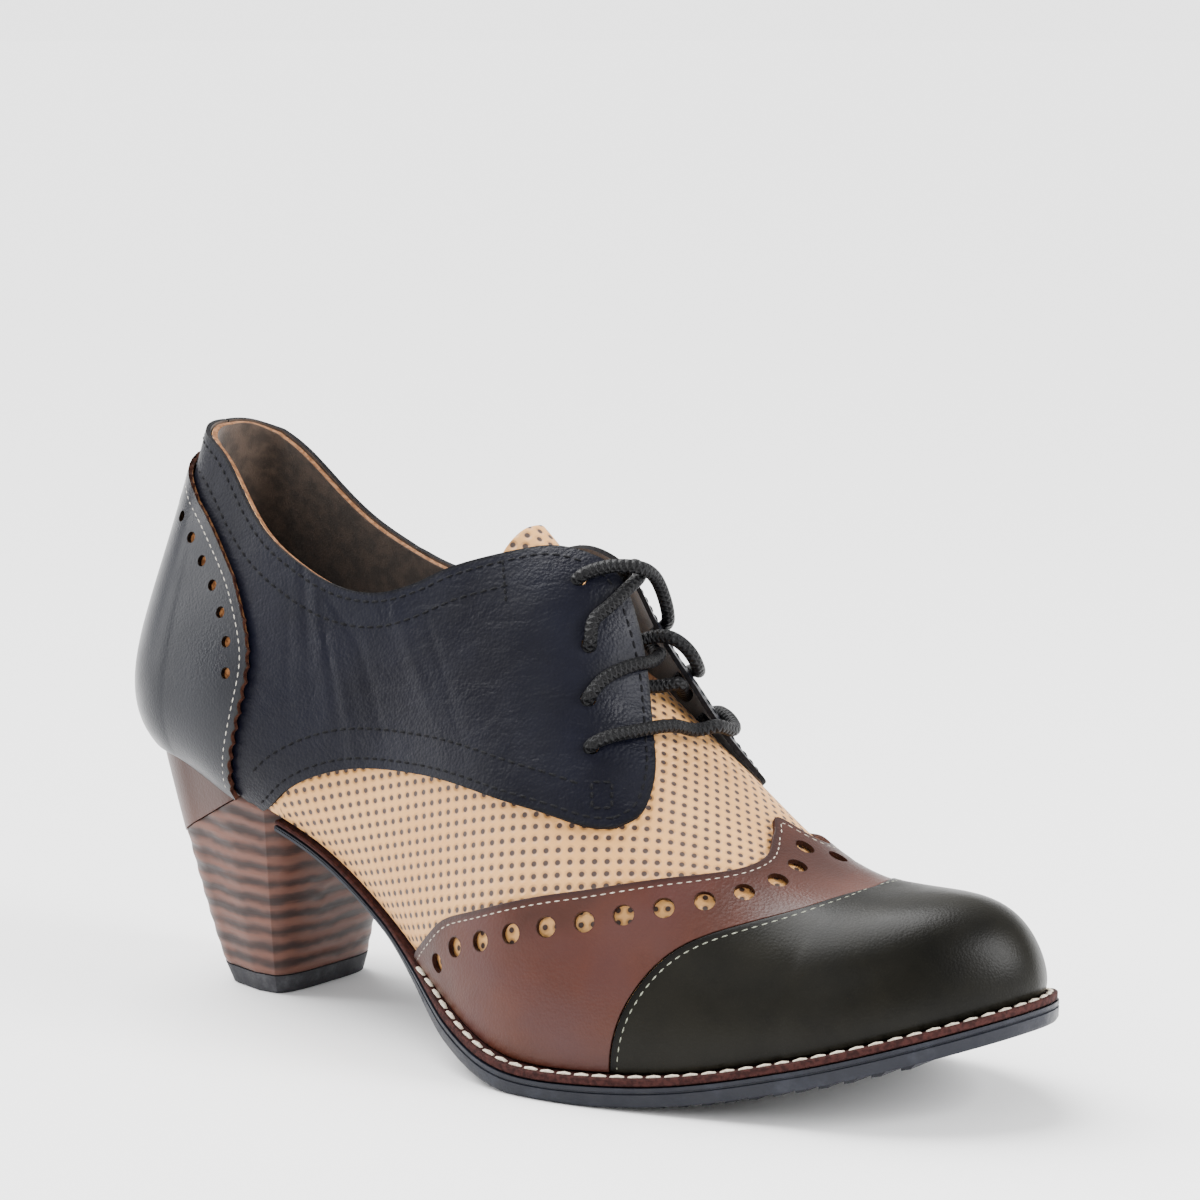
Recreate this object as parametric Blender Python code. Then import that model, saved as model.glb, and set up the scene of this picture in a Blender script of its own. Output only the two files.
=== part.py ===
"""A woman's heeled lace-up shoe for the right foot, built as a shoemaker would build it.

Metres, +Z up, standing on Z = 0. The toe points along +X and the outer side of the foot is -Y.
Every leather piece is taken from one last: a form lofted through sections that are worked out
from the last's length, ball width, instep height, heel height and toe spring.
A place on the last is (u, v, side): u runs along its feather line from the back of the heel, 0,
to the tip of the toe, 1; v runs up a section from the feather line, 0, to the ridge, 1.
"""

import math
from collections import namedtuple

import bmesh
import bpy
import numpy as np
from mathutils import Matrix, Vector

MM = 0.001
LATERAL, MEDIAL = -1, 1

# Driving dimensions
LAST_LENGTH = 255 * MM
BALL_WIDTH = 83 * MM
INSTEP_HEIGHT = 111 * MM
SEAT_LIFT = 52 * MM
TOE_SPRING = 16.6 * MM
SOLE_EDGE = 7 * MM

# The last's ends: where the heel's and the toe's curves turn about
HEEL_BACK = 7.2 * MM
HEEL_TURN = 28 * MM
TOE_TURN = 215 * MM
HEEL_ROUND = 2.05
TOE_ROUND = 1.74
HEEL_END, TOE_START = 0.22, 0.74
SWELL_PEAK = 0.22

# The box of the finished shoe has its middle here in the last's own frame
MIDDLE = Vector((129.8 * MM, -4.7 * MM, 0))

# Leather and sole thicknesses, and the gaps: between edges, between curved layers, over the welt
GAP = 0.3 * MM
LAYER_GAP = 0.5 * MM
FOOT_GAP = 0.4 * MM
LINED_LEATHER = 1.5 * MM
OVERLAY_LEATHER = 1.2 * MM
CAP_LEATHER = 1.5 * MM
TONGUE_LEATHER = 1.8 * MM
WELT_THICKNESS = 1.9 * MM
OUTSOLE_THICKNESS = 4.5 * MM
WAIST_WELT = 1.0 * MM
WAIST_OUTSOLE = 1.5 * MM
INSOLE_THICKNESS = 2.0 * MM

# How far the outer face of each layer stands off the last's form
VAMP_FACE = -1.3 * MM
OVERLAY_FACE = VAMP_FACE + LAYER_GAP + OVERLAY_LEATHER
CAP_FACE = VAMP_FACE + LAYER_GAP + CAP_LEATHER
COUNTER_FACE = OVERLAY_FACE + 1.2 * LAYER_GAP + OVERLAY_LEATHER
TONGUE_FACE = VAMP_FACE - LINED_LEATHER - 4 * LAYER_GAP

Section = namedtuple(
    "Section",
    "along lateral medial seat spring crown fullness swell_lateral swell_medial swing lean taper",
)
# along: share of the length; lateral, medial: half widths, shares of the ball width
# seat, spring: shares of the seat lift and the toe spring; crown: share of the instep height
# swing, lean: sideways places of the feather and the ridge, in millimetres
SECTIONS = [
    Section(0.000, 0.283, 0.259, 1.038, 0.000, 1.604, 2.80, 0.43, 0.38, 1.5, 1.5, 0.76),
    Section(0.110, 0.304, 0.277, 1.000, 0.000, 1.532, 2.75, 0.39, 0.34, 0.0, 2.0, 0.54),
    Section(0.196, 0.332, 0.291, 0.862, 0.000, 1.432, 2.60, 0.26, 0.23, -1.0, 2.0, 0.30),
    Section(0.294, 0.333, 0.289, 0.692, 0.000, 1.333, 2.40, 0.18, 0.18, -1.5, 2.2, 0.10),
    Section(0.392, 0.361, 0.313, 0.412, 0.000, 1.180, 2.25, 0.15, 0.18, -1.5, 2.4, 0.00),
    Section(0.490, 0.464, 0.380, 0.158, 0.000, 1.000, 2.20, 0.10, 0.13, -1.6, 3.0, 0.00),
    Section(0.588, 0.554, 0.446, 0.006, 0.000, 0.797, 2.20, 0.05, 0.08, -1.6, 3.2, 0.00),
    Section(0.667, 0.547, 0.464, 0.000, 0.000, 0.640, 2.30, 0.03, 0.05, -0.3, 3.2, 0.00),
    Section(0.745, 0.494, 0.440, 0.000, 0.102, 0.495, 2.48, 0.03, 0.04, 1.2, 2.2, 0.00),
    Section(0.831, 0.428, 0.380, 0.000, 0.386, 0.422, 2.68, 0.03, 0.03, 3.4, 1.0, 0.00),
    Section(0.961, 0.361, 0.319, 0.000, 1.000, 0.465, 2.95, 0.03, 0.03, 7.2, 0.0, 0.05),
]

Mark = namedtuple("Mark", "u v")
# The topline and the throat, where the lined upper ends
TOPLINE = [
    Mark(0.000, 0.420), Mark(0.100, 0.420), Mark(0.190, 0.415), Mark(0.235, 0.406),
    Mark(0.262, 0.378), Mark(0.290, 0.358), Mark(0.318, 0.356), Mark(0.345, 0.366),
    Mark(0.378, 0.408), Mark(0.412, 0.500), Mark(0.440, 0.590), Mark(0.470, 0.630), Mark(0.500, 0.650),
    Mark(0.530, 0.690), Mark(0.550, 0.780), Mark(0.566, 1.000),
]
THROAT_START = 0.49
# The front of the wing tip and the seam of the toe cap, read up each side to the ridge
WING_SIDE = [
    Mark(0.452, 0.00), Mark(0.475, 0.06), Mark(0.495, 0.12), Mark(0.517, 0.17),
    Mark(0.547, 0.24), Mark(0.577, 0.31), Mark(0.598, 0.36), Mark(0.623, 0.44),
    Mark(0.643, 0.53), Mark(0.664, 0.66),
]
# Its peak stands a little to the inner side of the ridge
WING_EDGE = {
    LATERAL: WING_SIDE + [Mark(0.675, 0.77), Mark(0.678, 0.85), Mark(0.674, 0.94), Mark(0.665, 1.00)],
    MEDIAL: WING_SIDE + [
        Mark(0.676, 0.75), Mark(0.676, 0.80), Mark(0.668, 0.85), Mark(0.656, 0.90), Mark(0.651, 0.935),
        Mark(0.665, 1.00),
    ],
}
CAP_SEAM = [
    Mark(0.635, 0.00), Mark(0.639, 0.09), Mark(0.650, 0.21), Mark(0.668, 0.35),
    Mark(0.695, 0.51), Mark(0.722, 0.70), Mark(0.735, 0.88), Mark(0.740, 1.00),
]
# A quarter's four edges: along the sole and the arch, up the facing, along the collar, up the back
QUARTER_FOOT = [
    Mark(0.000, 0.000), Mark(0.100, 0.000), Mark(0.200, 0.000), Mark(0.280, 0.000),
    Mark(0.310, 0.004), Mark(0.330, 0.034), Mark(0.352, 0.075), Mark(0.388, 0.146),
    Mark(0.432, 0.228), Mark(0.477, 0.307), Mark(0.530, 0.400), Mark(0.568, 0.470),
    Mark(0.592, 0.512), Mark(0.606, 0.560),
]
FACING_EDGE = {
    LATERAL: [
        Mark(0.606, 0.560), Mark(0.614, 0.640), Mark(0.612, 0.730), Mark(0.602, 0.820),
        Mark(0.592, 0.870), Mark(0.578, 0.925), Mark(0.560, 0.965), Mark(0.540, 0.980),
        Mark(0.522, 0.984), Mark(0.508, 0.975),
    ],
    MEDIAL: [
        Mark(0.606, 0.560), Mark(0.615, 0.640), Mark(0.615, 0.720), Mark(0.607, 0.800),
        Mark(0.596, 0.870), Mark(0.582, 0.925), Mark(0.564, 0.950), Mark(0.540, 0.945),
        Mark(0.520, 0.925), Mark(0.500, 0.890),
    ],
}
COLLAR_BACK = [
    Mark(0.000, 0.423), Mark(0.100, 0.423), Mark(0.190, 0.418), Mark(0.235, 0.410),
    Mark(0.262, 0.381), Mark(0.290, 0.360), Mark(0.318, 0.358), Mark(0.345, 0.368),
    Mark(0.378, 0.414), Mark(0.412, 0.515), Mark(0.440, 0.650),
]
COLLAR_EDGE = {
    LATERAL: COLLAR_BACK + [Mark(0.462, 0.770), Mark(0.478, 0.870), Mark(0.492, 0.940), Mark(0.508, 0.975)],
    MEDIAL: COLLAR_BACK + [Mark(0.460, 0.740), Mark(0.474, 0.810), Mark(0.486, 0.855), Mark(0.500, 0.890)],
}
# The edges of the counter: its curved front edge and its top
COUNTER_FRONT = [
    Mark(0.283, 0.000), Mark(0.290, 0.053), Mark(0.295, 0.113), Mark(0.295, 0.170),
    Mark(0.285, 0.213), Mark(0.270, 0.250),
]
COUNTER_TOP = [
    Mark(0.000, 0.362), Mark(0.080, 0.352), Mark(0.148, 0.334), Mark(0.225, 0.300),
    Mark(0.248, 0.277), Mark(0.270, 0.250),
]

Spring = namedtuple("Spring", "u lateral medial")
# How far the unlaced facings spring up off the instep at the ridge, in millimetres
FACING_SPRING = [
    Spring(0.400, 4.0, 4.0), Spring(0.440, 7.0, 7.5), Spring(0.480, 11.0, 12.5),
    Spring(0.508, 14.5, 15.0), Spring(0.530, 13.0, 13.0), Spring(0.555, 8.0, 10.0),
    Spring(0.580, 2.8, 7.5), Spring(0.600, 0.7, 3.5), Spring(0.616, 0.0, 0.0),
]
SPRING_START, SPRING_FULL, SPRING_BEND = 0.55, 0.97, 1.4

# The eyelet holes of each facing, from the top
EYELETS = [Mark(0.510, 0.905), Mark(0.538, 0.840), Mark(0.556, 0.760), Mark(0.572, 0.680)]
EYELET_RADIUS = 1.9 * MM
# The quarters stop just short of each other at the back
BACK_SEAM = 0.006

# The tongue: where its centre rises clear of the throat, in millimetres above the last
TONGUE_TIP, TONGUE_ROOT, TONGUE_SIDE = 0.465, 0.625, 0.60
TONGUE_CORNER, TONGUE_BEND = 0.018, 0.70
TONGUE_RISE = [(0.440, 9.4), (0.465, 9.4), (0.490, 8.9), (0.515, 7.5), (0.535, 5.0), (0.550, 2.5), (0.563, 0.0)]

# The welt's ledge outside the feather line, in millimetres, at places along it
LEDGE = [(0.30, 0.6), (0.42, 0.6), (0.46, 1.6), (0.50, 3.2), (0.54, 3.7), (1.00, 3.7)]
SOLE_OVER_WELT = 0.3 * MM
WELT_TUCK = 2.7 * MM
SOLE_START = 0.3150
WAIST_END, FOREPART_START = 100 * MM, 128 * MM

# The heel: its seat outline shrinks towards the floor
HEEL_FRONT = 61.5 * MM
HEEL_CORNER_START = 42 * MM
HEEL_CORNER_POWER = 4.2
HEEL_FOOT_LENGTH, HEEL_FOOT_WIDTH = 0.47, 0.67
HEEL_FOOT_MIDDLE = Vector((42.0 * MM, -2.4 * MM))
HEEL_SEAT_MIDDLE = Vector((34.3 * MM, -2.0 * MM))
HEEL_BEND = 0.80
TOP_LIFT_THICKNESS = 4.6 * MM
WRAP_BACK_HEIGHT = 26.8 * MM
WRAP_SLOPE = 0.505
WRAP_PROUD = 0.5 * MM

# The laces are round cords, each bend a place on the quarters and the cord's middle above it, in mm
LACE_RADIUS = 1.5 * MM
Bend = namedtuple("Bend", "u v side height")
LACE_TOP_OVER = [
    Bend(0.510, 0.905, LATERAL, 2.1), Bend(0.513, 0.945, LATERAL, 2.5), Bend(0.520, 0.980, LATERAL, 3.4),
    Bend(0.531, 0.950, MEDIAL, 3.8), Bend(0.543, 0.900, MEDIAL, 4.0), Bend(0.550, 0.850, MEDIAL, 3.6),
    Bend(0.542, 0.820, MEDIAL, 2.3),
]
LACE_TOP_UNDER = [
    Bend(0.538, 0.840, LATERAL, 2.1), Bend(0.533, 0.900, LATERAL, 2.2), Bend(0.524, 0.955, LATERAL, 2.1),
    Bend(0.514, 0.960, MEDIAL, 2.2), Bend(0.510, 0.905, MEDIAL, 2.1),
]
LACE_MIDDLE = [
    Bend(0.556, 0.760, LATERAL, 2.1), Bend(0.557, 0.840, LATERAL, 2.1), Bend(0.555, 0.910, LATERAL, 2.1),
    Bend(0.555, 0.970, LATERAL, 2.1), Bend(0.562, 0.970, MEDIAL, 2.4), Bend(0.569, 0.910, MEDIAL, 2.9),
    Bend(0.570, 0.840, MEDIAL, 2.7), Bend(0.556, 0.760, MEDIAL, 2.1),
]
LACE_BOTTOM = [
    Bend(0.572, 0.680, LATERAL, 2.1), Bend(0.578, 0.780, LATERAL, 2.1), Bend(0.583, 0.870, LATERAL, 2.1),
    Bend(0.588, 0.955, LATERAL, 2.2), Bend(0.590, 0.980, MEDIAL, 2.4), Bend(0.588, 0.900, MEDIAL, 2.3),
    Bend(0.582, 0.800, MEDIAL, 2.1), Bend(0.572, 0.680, MEDIAL, 2.1),
]


def spline(places, values):
    """A natural cubic spline through the given places, straight beyond its ends."""
    places, values = np.asarray(places, float), np.asarray(values, float)
    step = np.diff(places)
    count = len(places)
    system, load = np.eye(count), np.zeros(count)
    for i in range(1, count - 1):
        system[i, i - 1 : i + 2] = step[i - 1], 2 * (step[i - 1] + step[i]), step[i]
        load[i] = 6 * ((values[i + 1] - values[i]) / step[i] - (values[i] - values[i - 1]) / step[i - 1])
    bend = np.linalg.solve(system, load)

    def at(place):
        place = np.asarray(place, float)
        i = np.clip(np.searchsorted(places, place) - 1, 0, count - 2)
        inside = np.clip(place, places[0], places[-1])
        left, right = (places[i + 1] - inside) / step[i], (inside - places[i]) / step[i]
        curve = left * values[i] + right * values[i + 1]
        curve += ((left**3 - left) * bend[i] + (right**3 - right) * bend[i + 1]) * step[i] ** 2 / 6
        slope = (values[i + 1] - values[i]) / step[i]
        slope += ((3 * right**2 - 1) * bend[i + 1] - (3 * left**2 - 1) * bend[i]) * step[i] / 6
        return curve + slope * (place - inside)

    return at


def column(name, unit=1.0):
    return spline(
        [s.along * LAST_LENGTH for s in SECTIONS], [getattr(s, name) * unit for s in SECTIONS]
    )


HALF_WIDTH = {LATERAL: column("lateral", BALL_WIDTH), MEDIAL: column("medial", BALL_WIDTH)}
SWELL = {LATERAL: column("swell_lateral"), MEDIAL: column("swell_medial")}
SEAT_SHARE, SPRING_SHARE = column("seat"), column("spring")
CROWN, FULLNESS = column("crown", INSTEP_HEIGHT), column("fullness")
SWING, LEAN, TAPER = column("swing", MM), column("lean", MM), column("taper")
RIDGE_SPRING = {
    LATERAL: spline([s.u for s in FACING_SPRING], [s.lateral * MM for s in FACING_SPRING]),
    MEDIAL: spline([s.u for s in FACING_SPRING], [s.medial * MM for s in FACING_SPRING]),
}


def feather_height(x):
    return SOLE_EDGE + SEAT_SHARE(x) * SEAT_LIFT + SPRING_SHARE(x) * TOE_SPRING


def feather(u, side):
    """The feather line in plan: x, the half width with its sign, and the x that its section turns about."""
    heel_angle = np.clip(u / HEEL_END, 0, 1) * math.pi / 2
    toe_angle = np.clip((1 - u) / (1 - TOE_START), 0, 1) * math.pi / 2
    middle = HEEL_TURN + np.clip((u - HEEL_END) / (TOE_START - HEEL_END), 0, 1) * (TOE_TURN - HEEL_TURN)
    heel_x = HEEL_TURN - (HEEL_TURN - HEEL_BACK) * np.cos(heel_angle) ** (2 / HEEL_ROUND)
    toe_x = TOE_TURN + (LAST_LENGTH - TOE_TURN) * np.cos(toe_angle) ** (2 / TOE_ROUND)
    width = HALF_WIDTH[side](middle)
    heel_y = width * np.sin(heel_angle) ** (2 / HEEL_ROUND)
    toe_y = width * np.sin(toe_angle) ** (2 / TOE_ROUND)
    x = np.where(u < HEEL_END, heel_x, np.where(u <= TOE_START, middle, toe_x))
    y = np.where(u < HEEL_END, heel_y, np.where(u <= TOE_START, width, toe_y))
    return x, side * y, middle


def swell_of(u, x, side):
    """How far the side swells, the same on both sides where they meet at the back and the toe."""
    share = 0.5 + 0.5 * np.clip(np.minimum(u, 1 - u) / HEEL_END, 0, 1)
    return SWELL[side](x) * share + SWELL[-side](x) * (1 - share)


def last(u, v, side):
    """Points on the last's form."""
    u, v = np.broadcast_arrays(np.asarray(u, float), np.asarray(v, float))
    foot_x, foot_y, turn = feather(u, side)
    angle = v * math.pi / 2
    power = 2 / FULLNESS(turn)
    rise = np.sin(angle) ** power
    swell = swell_of(u, foot_x, side) * rise / SWELL_PEAK * np.exp(1 - rise / SWELL_PEAK) * (1 - rise)
    reach = np.clip(np.cos(angle), 0, 1) ** power * (1 - TAPER(foot_x) * rise) + swell
    x = turn + (foot_x - turn) * reach
    low = feather_height(foot_x)
    z = low + (CROWN(x) - low) * rise
    y = foot_y * reach + SWING(x) + LEAN(x) * rise
    return np.stack([x, y, z], -1)


def side_normal(u, v, side):
    step = 2e-3
    inner = np.minimum(v, 0.985)
    across = last(np.minimum(u + step, 1), inner, side) - last(np.maximum(u - step, 0), inner, side)
    upward = last(u, np.minimum(v + step, 1), side) - last(u, np.maximum(v - step, 0), side)
    normal = -side * np.cross(across, upward)
    return normal / (np.linalg.norm(normal, axis=-1, keepdims=True) + 1e-12)


def last_normal(u, v, side):
    """Outward directions on the last's form, the same on both sides where they meet."""
    u, v = np.broadcast_arrays(np.asarray(u, float), np.asarray(v, float))
    normal = side_normal(u, v, side)
    shared = (normal + side_normal(u, v, -side)) * (1, 0, 1)
    shared /= np.linalg.norm(shared, axis=-1, keepdims=True) + 1e-12
    x = last(u, v, side)[..., 0]
    slope = (CROWN(x + 0.5 * MM) - CROWN(x - 0.5 * MM)) / MM
    ridge = np.stack([-slope, 0 * slope, 1 + 0 * slope], -1)
    ridge /= np.linalg.norm(ridge, axis=-1, keepdims=True)
    normal = np.where(((u < 1e-6) | (u > 1 - 1e-6))[..., None], shared, normal)
    return np.where((v > 0.999)[..., None], ridge, normal)


def off_last(u, v, side, stand_off=0.0):
    """Points that far off the form, with the leather's lower edge clear of the sole."""
    stand_off = np.asarray(stand_off, float)
    points = last(u, v, side) + last_normal(u, v, side) * stand_off[..., None]
    on_feather = np.broadcast_to(np.asarray(v) < 1e-6, points.shape[:-1])
    foot = last(u, 0, side)[..., 2] + 0.5 * FOOT_GAP
    points[..., 2] = np.where(on_feather, foot, points[..., 2])
    return points


def facing_spring(u, v, side):
    share = np.clip((v - SPRING_START) / (SPRING_FULL - SPRING_START), 0, 1.05)
    ease = np.clip((u - 0.40) / 0.04, 0, 1)
    return np.maximum(RIDGE_SPRING[side](u), 0) * share**SPRING_BEND * ease


def on_quarter(u, v, side, height=0.0):
    """A place on a quarter's outer face, or that far above it."""
    return off_last(u, v, side, OVERLAY_FACE + facing_spring(u, v, side) + height)


def along_marks(marks, shares):
    """(u, v) places at those shares of the length of a smooth line through the marks."""
    points = np.array([(m.u, m.v * 0.45) for m in marks])
    length = np.concatenate([[0], np.cumsum(np.linalg.norm(np.diff(points, axis=0), axis=1))])
    place = length[-1] * shares
    return np.stack([spline(length, points[:, 0])(place), spline(length, points[:, 1])(place) / 0.45], -1)


def climb(count, power):
    """Shares from 0 to 1 that lie closer together near the feather line, where the last rounds fastest."""
    return np.linspace(0, 1, count) ** power


def patch(foot, top, back, front):
    """A Coons patch in (u, v) between four edges, each an array of places."""
    s = np.linspace(0, 1, len(foot))[:, None, None]
    t = np.linspace(0, 1, len(back))[None, :, None]
    edges = (1 - t) * foot[:, None] + t * top[:, None] + (1 - s) * back[None] + s * front[None]
    corners = (1 - s) * (1 - t) * foot[0] + s * (1 - t) * foot[-1] + (1 - s) * t * top[0] + s * t * top[-1]
    return edges - corners


def new_object(name, mesh, collection, colour, roughness, metallic=0.0):
    material = bpy.data.materials.new(name)
    material.use_nodes = True
    shader = material.node_tree.nodes["Principled BSDF"]
    shader.inputs["Base Color"].default_value = (*colour, 1)
    shader.inputs["Roughness"].default_value = roughness
    shader.inputs["Metallic"].default_value = metallic
    mesh.materials.append(material)
    obj = bpy.data.objects.new(name, mesh)
    collection.objects.link(obj)
    return obj


def leather(name, sheets, thickness, collection, colour, roughness):
    """A shell between two sheets of points off the last: one whole wall, closed all round its edges.

    Each sheet is (u, v, stand-off, side) in rows, and sheets that share an edge are joined there.
    """
    index, outer, inner, faces = {}, [], [], []
    for u, v, stand_off, side in sheets:
        shape = np.broadcast_shapes(np.shape(u), np.shape(v), np.shape(stand_off))
        u, v, stand_off = (np.broadcast_to(np.asarray(a, float), shape) for a in (u, v, stand_off))
        face, back = off_last(u, v, side, stand_off), off_last(u, v, side, stand_off - thickness)
        places = np.empty(shape, int)
        for place in np.ndindex(shape):
            key = tuple(np.round(face[place] / (0.01 * MM) + 0.137).astype(int))
            if key not in index:
                index[key] = len(outer)
                outer.append(Vector(face[place]) - MIDDLE)
                inner.append(Vector(back[place]) - MIDDLE)
            places[place] = index[key]
        for i, j in np.ndindex(shape[0] - 1, shape[1] - 1):
            corners = places[i, j], places[i + 1, j], places[i + 1, j + 1], places[i, j + 1]
            corners = list(dict.fromkeys(int(c) for c in corners))
            if len(corners) > 2:
                faces.append(corners if side == LATERAL else corners[::-1])
    count = len(outer)
    edges = {(a, b) for face in faces for a, b in zip(face, face[1:] + face[:1])}
    rim = [(b, a, a + count, b + count) for a, b in edges if (b, a) not in edges]
    back_faces = [[c + count for c in reversed(face)] for face in faces]
    mesh = bpy.data.meshes.new(name)
    mesh.from_pydata(outer + inner, [], faces + back_faces + rim)
    mesh.shade_smooth()
    mesh.set_sharp_from_angle(angle=math.radians(35))
    return new_object(name, mesh, collection, colour, roughness)


def line_across(marks):
    """u as a function of v, for a line that runs up one side to the ridge."""
    return spline([m.v for m in marks], [m.u for m in marks])


def throat_edge():
    return spline([m.u for m in TOPLINE], [m.v for m in TOPLINE])


def build_upper(collection):
    """The lined vamp and quarters in one hollow wall, open below, at the collar and down the throat."""
    top, throat = throat_edge(), TOPLINE[-1].u
    places = np.concatenate([
        np.linspace(0, HEEL_END, 8)[:-1],
        np.linspace(HEEL_END, THROAT_START, 12)[:-1],
        np.linspace(THROAT_START, throat, 6)[:-1],
        np.linspace(throat, TOE_START, 8)[:-1],
        np.linspace(TOE_START, 1, 8),
    ])
    share = climb(13, 1.5)
    height = np.where(places < throat - 1e-6, np.minimum(top(places), 1), 1.0)

    sheets = [(places[:, None], height[:, None] * share, VAMP_FACE, side) for side in (LATERAL, MEDIAL)]
    return leather("upper", sheets, LINED_LEATHER, collection, (0.72, 0.49, 0.30), 0.6)


def band(name, start_line, end_line, columns, face, thickness, collection, colour, roughness):
    """A piece that crosses the vamp from one feather line over the ridge to the other."""
    rise = climb(15, 1.35)
    sheets = []
    for side in (LATERAL, MEDIAL):
        first, final = start_line(rise, side), end_line(rise, side)
        sheets.append((first + (final - first) * np.linspace(0, 1, columns)[:, None], rise, face, side))
    return leather(name, sheets, thickness, collection, colour, roughness)


def build_wing_tip(collection):
    edges = {side: line_across(marks) for side, marks in WING_EDGE.items()}
    seam = line_across(CAP_SEAM)
    return band(
        "wing_tip", lambda v, side: edges[side](v), lambda v, side: seam(v) - GAP / LAST_LENGTH * 1.3, 8, OVERLAY_FACE, OVERLAY_LEATHER,
        collection, (0.14, 0.055, 0.035), 0.4,
    )


def build_toe_cap(collection):
    seam = line_across(CAP_SEAM)
    return band(
        "toe_cap", lambda v, side: seam(v), lambda v, side: np.ones_like(v), 11, CAP_FACE, CAP_LEATHER,
        collection, (0.025, 0.024, 0.02), 0.3,
    )


def build_quarter(side, collection):
    name = "quarter_lateral" if side == LATERAL else "quarter_medial"
    run, rise = np.linspace(0, 1, 28), climb(14, 1.3)
    foot, collar = along_marks(QUARTER_FOOT, run), along_marks(COLLAR_EDGE[side], run)
    facing, back = along_marks(FACING_EDGE[side], rise), climb(14, 1.6)[:, None] * (0, COLLAR_BACK[0].v)
    places = np.clip(patch(foot, collar, back, facing), 0, 1)
    u, v = np.maximum(places[..., 0], BACK_SEAM), places[..., 1]
    face = OVERLAY_FACE + facing_spring(u, v, side)
    quarter = leather(name, [(u, v, face, side)], OVERLAY_LEATHER, collection, (0.015, 0.017, 0.025), 0.5)
    for number, eyelet in enumerate(EYELETS, 1):
        cut_hole(quarter, eyelet, side, f"{name}_punch_{number}")
    return quarter


def cut_hole(quarter, eyelet, side, name):
    """A punched eyelet hole, square to the leather."""
    centre = on_quarter(eyelet.u, eyelet.v, side)
    above = on_quarter(eyelet.u, eyelet.v, side, MM)
    axis = Vector(above - centre).normalized()
    bpy.ops.mesh.primitive_cylinder_add(vertices=10, radius=EYELET_RADIUS, depth=8 * MM)
    punch = bpy.context.object
    punch.name = name
    turn = axis.to_track_quat("Z", "Y").to_matrix().to_4x4()
    punch.data.transform(Matrix.Translation(Vector(centre) - MIDDLE) @ turn)
    punch.hide_render = True
    punch.display_type = "WIRE"
    for home in list(punch.users_collection):
        home.objects.unlink(punch)
    bpy.data.collections["punches"].objects.link(punch)
    hole = quarter.modifiers.new(name, "BOOLEAN")
    hole.operation = "DIFFERENCE"
    hole.object = punch


def build_counter(collection):
    """The outer heel counter, one piece round the back over both quarters."""
    run, rise = np.linspace(0, 1, 14), climb(12, 1.5)
    foot = run[:, None] * (COUNTER_FRONT[0].u, 0)
    top, front = along_marks(COUNTER_TOP, run), along_marks(COUNTER_FRONT, rise)
    back = rise[:, None] * (0, COUNTER_TOP[0].v)
    places = patch(foot, top, back, front)
    sheets = [(places[..., 0], places[..., 1], COUNTER_FACE, side) for side in (LATERAL, MEDIAL)]
    return leather("counter", sheets, OVERLAY_LEATHER, collection, (0.03, 0.032, 0.04), 0.35)


def build_tongue(collection):
    """The tongue lies under the vamp and rises through the throat to its free tip."""
    rise = spline([r[0] for r in TONGUE_RISE], [r[1] * MM for r in TONGUE_RISE])
    across = np.linspace(TONGUE_SIDE, 1, 9)
    share = np.linspace(0, 1, 11)[:, None]
    edge = (1 - across) / (1 - TONGUE_SIDE)
    tip = TONGUE_TIP + TONGUE_CORNER * edge**3
    u = tip + (TONGUE_ROOT - tip) * share
    v = np.broadcast_to(across, u.shape)
    lift = np.where(u < TONGUE_RISE[-1][0], rise(u), 0)
    bend = np.maximum(TONGUE_BEND, throat_edge()(u) + 0.10)
    crown = np.clip((v - bend) / (0.98 - bend), 0, 1)
    stand_off = TONGUE_FACE + np.maximum(lift, 0) * crown * crown * (3 - 2 * crown)
    sheets = [(u, v, stand_off, side) for side in (LATERAL, MEDIAL)]
    return leather("tongue", sheets, TONGUE_LEATHER, collection, (0.70, 0.48, 0.29), 0.6)


def strand(name, bends, collection):
    """A round cord on a smooth curve through its bends."""
    curve = bpy.data.curves.new(name, "CURVE")
    curve.dimensions, curve.use_fill_caps = "3D", True
    curve.bevel_depth, curve.bevel_resolution, curve.resolution_u = LACE_RADIUS, 1, 3
    route = curve.splines.new("BEZIER")
    route.bezier_points.add(len(bends) - 1)
    for point, bend in zip(route.bezier_points, bends):
        point.co = Vector(on_quarter(bend.u, bend.v, bend.side, bend.height * MM)) - MIDDLE
        point.handle_left_type = point.handle_right_type = "AUTO"
    guide = bpy.data.objects.new(name, curve)
    mesh = bpy.data.meshes.new_from_object(guide)
    bpy.data.objects.remove(guide)
    return new_object(name, mesh, collection, (0.01, 0.01, 0.012), 0.8)


def build_laces(collection):
    """Three crossings of the laces, from eyelet to eyelet; the top one is two strands joined."""
    top = strand("lace_top", LACE_TOP_OVER, collection)
    under = strand("lace_top_under", LACE_TOP_UNDER, bpy.data.collections["punches"])
    under.hide_render = True
    join = top.modifiers.new("crossing", "BOOLEAN")
    join.operation, join.object = "UNION", under
    strand("lace_middle", LACE_MIDDLE, collection)
    strand("lace_bottom", LACE_BOTTOM, collection)


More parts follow.
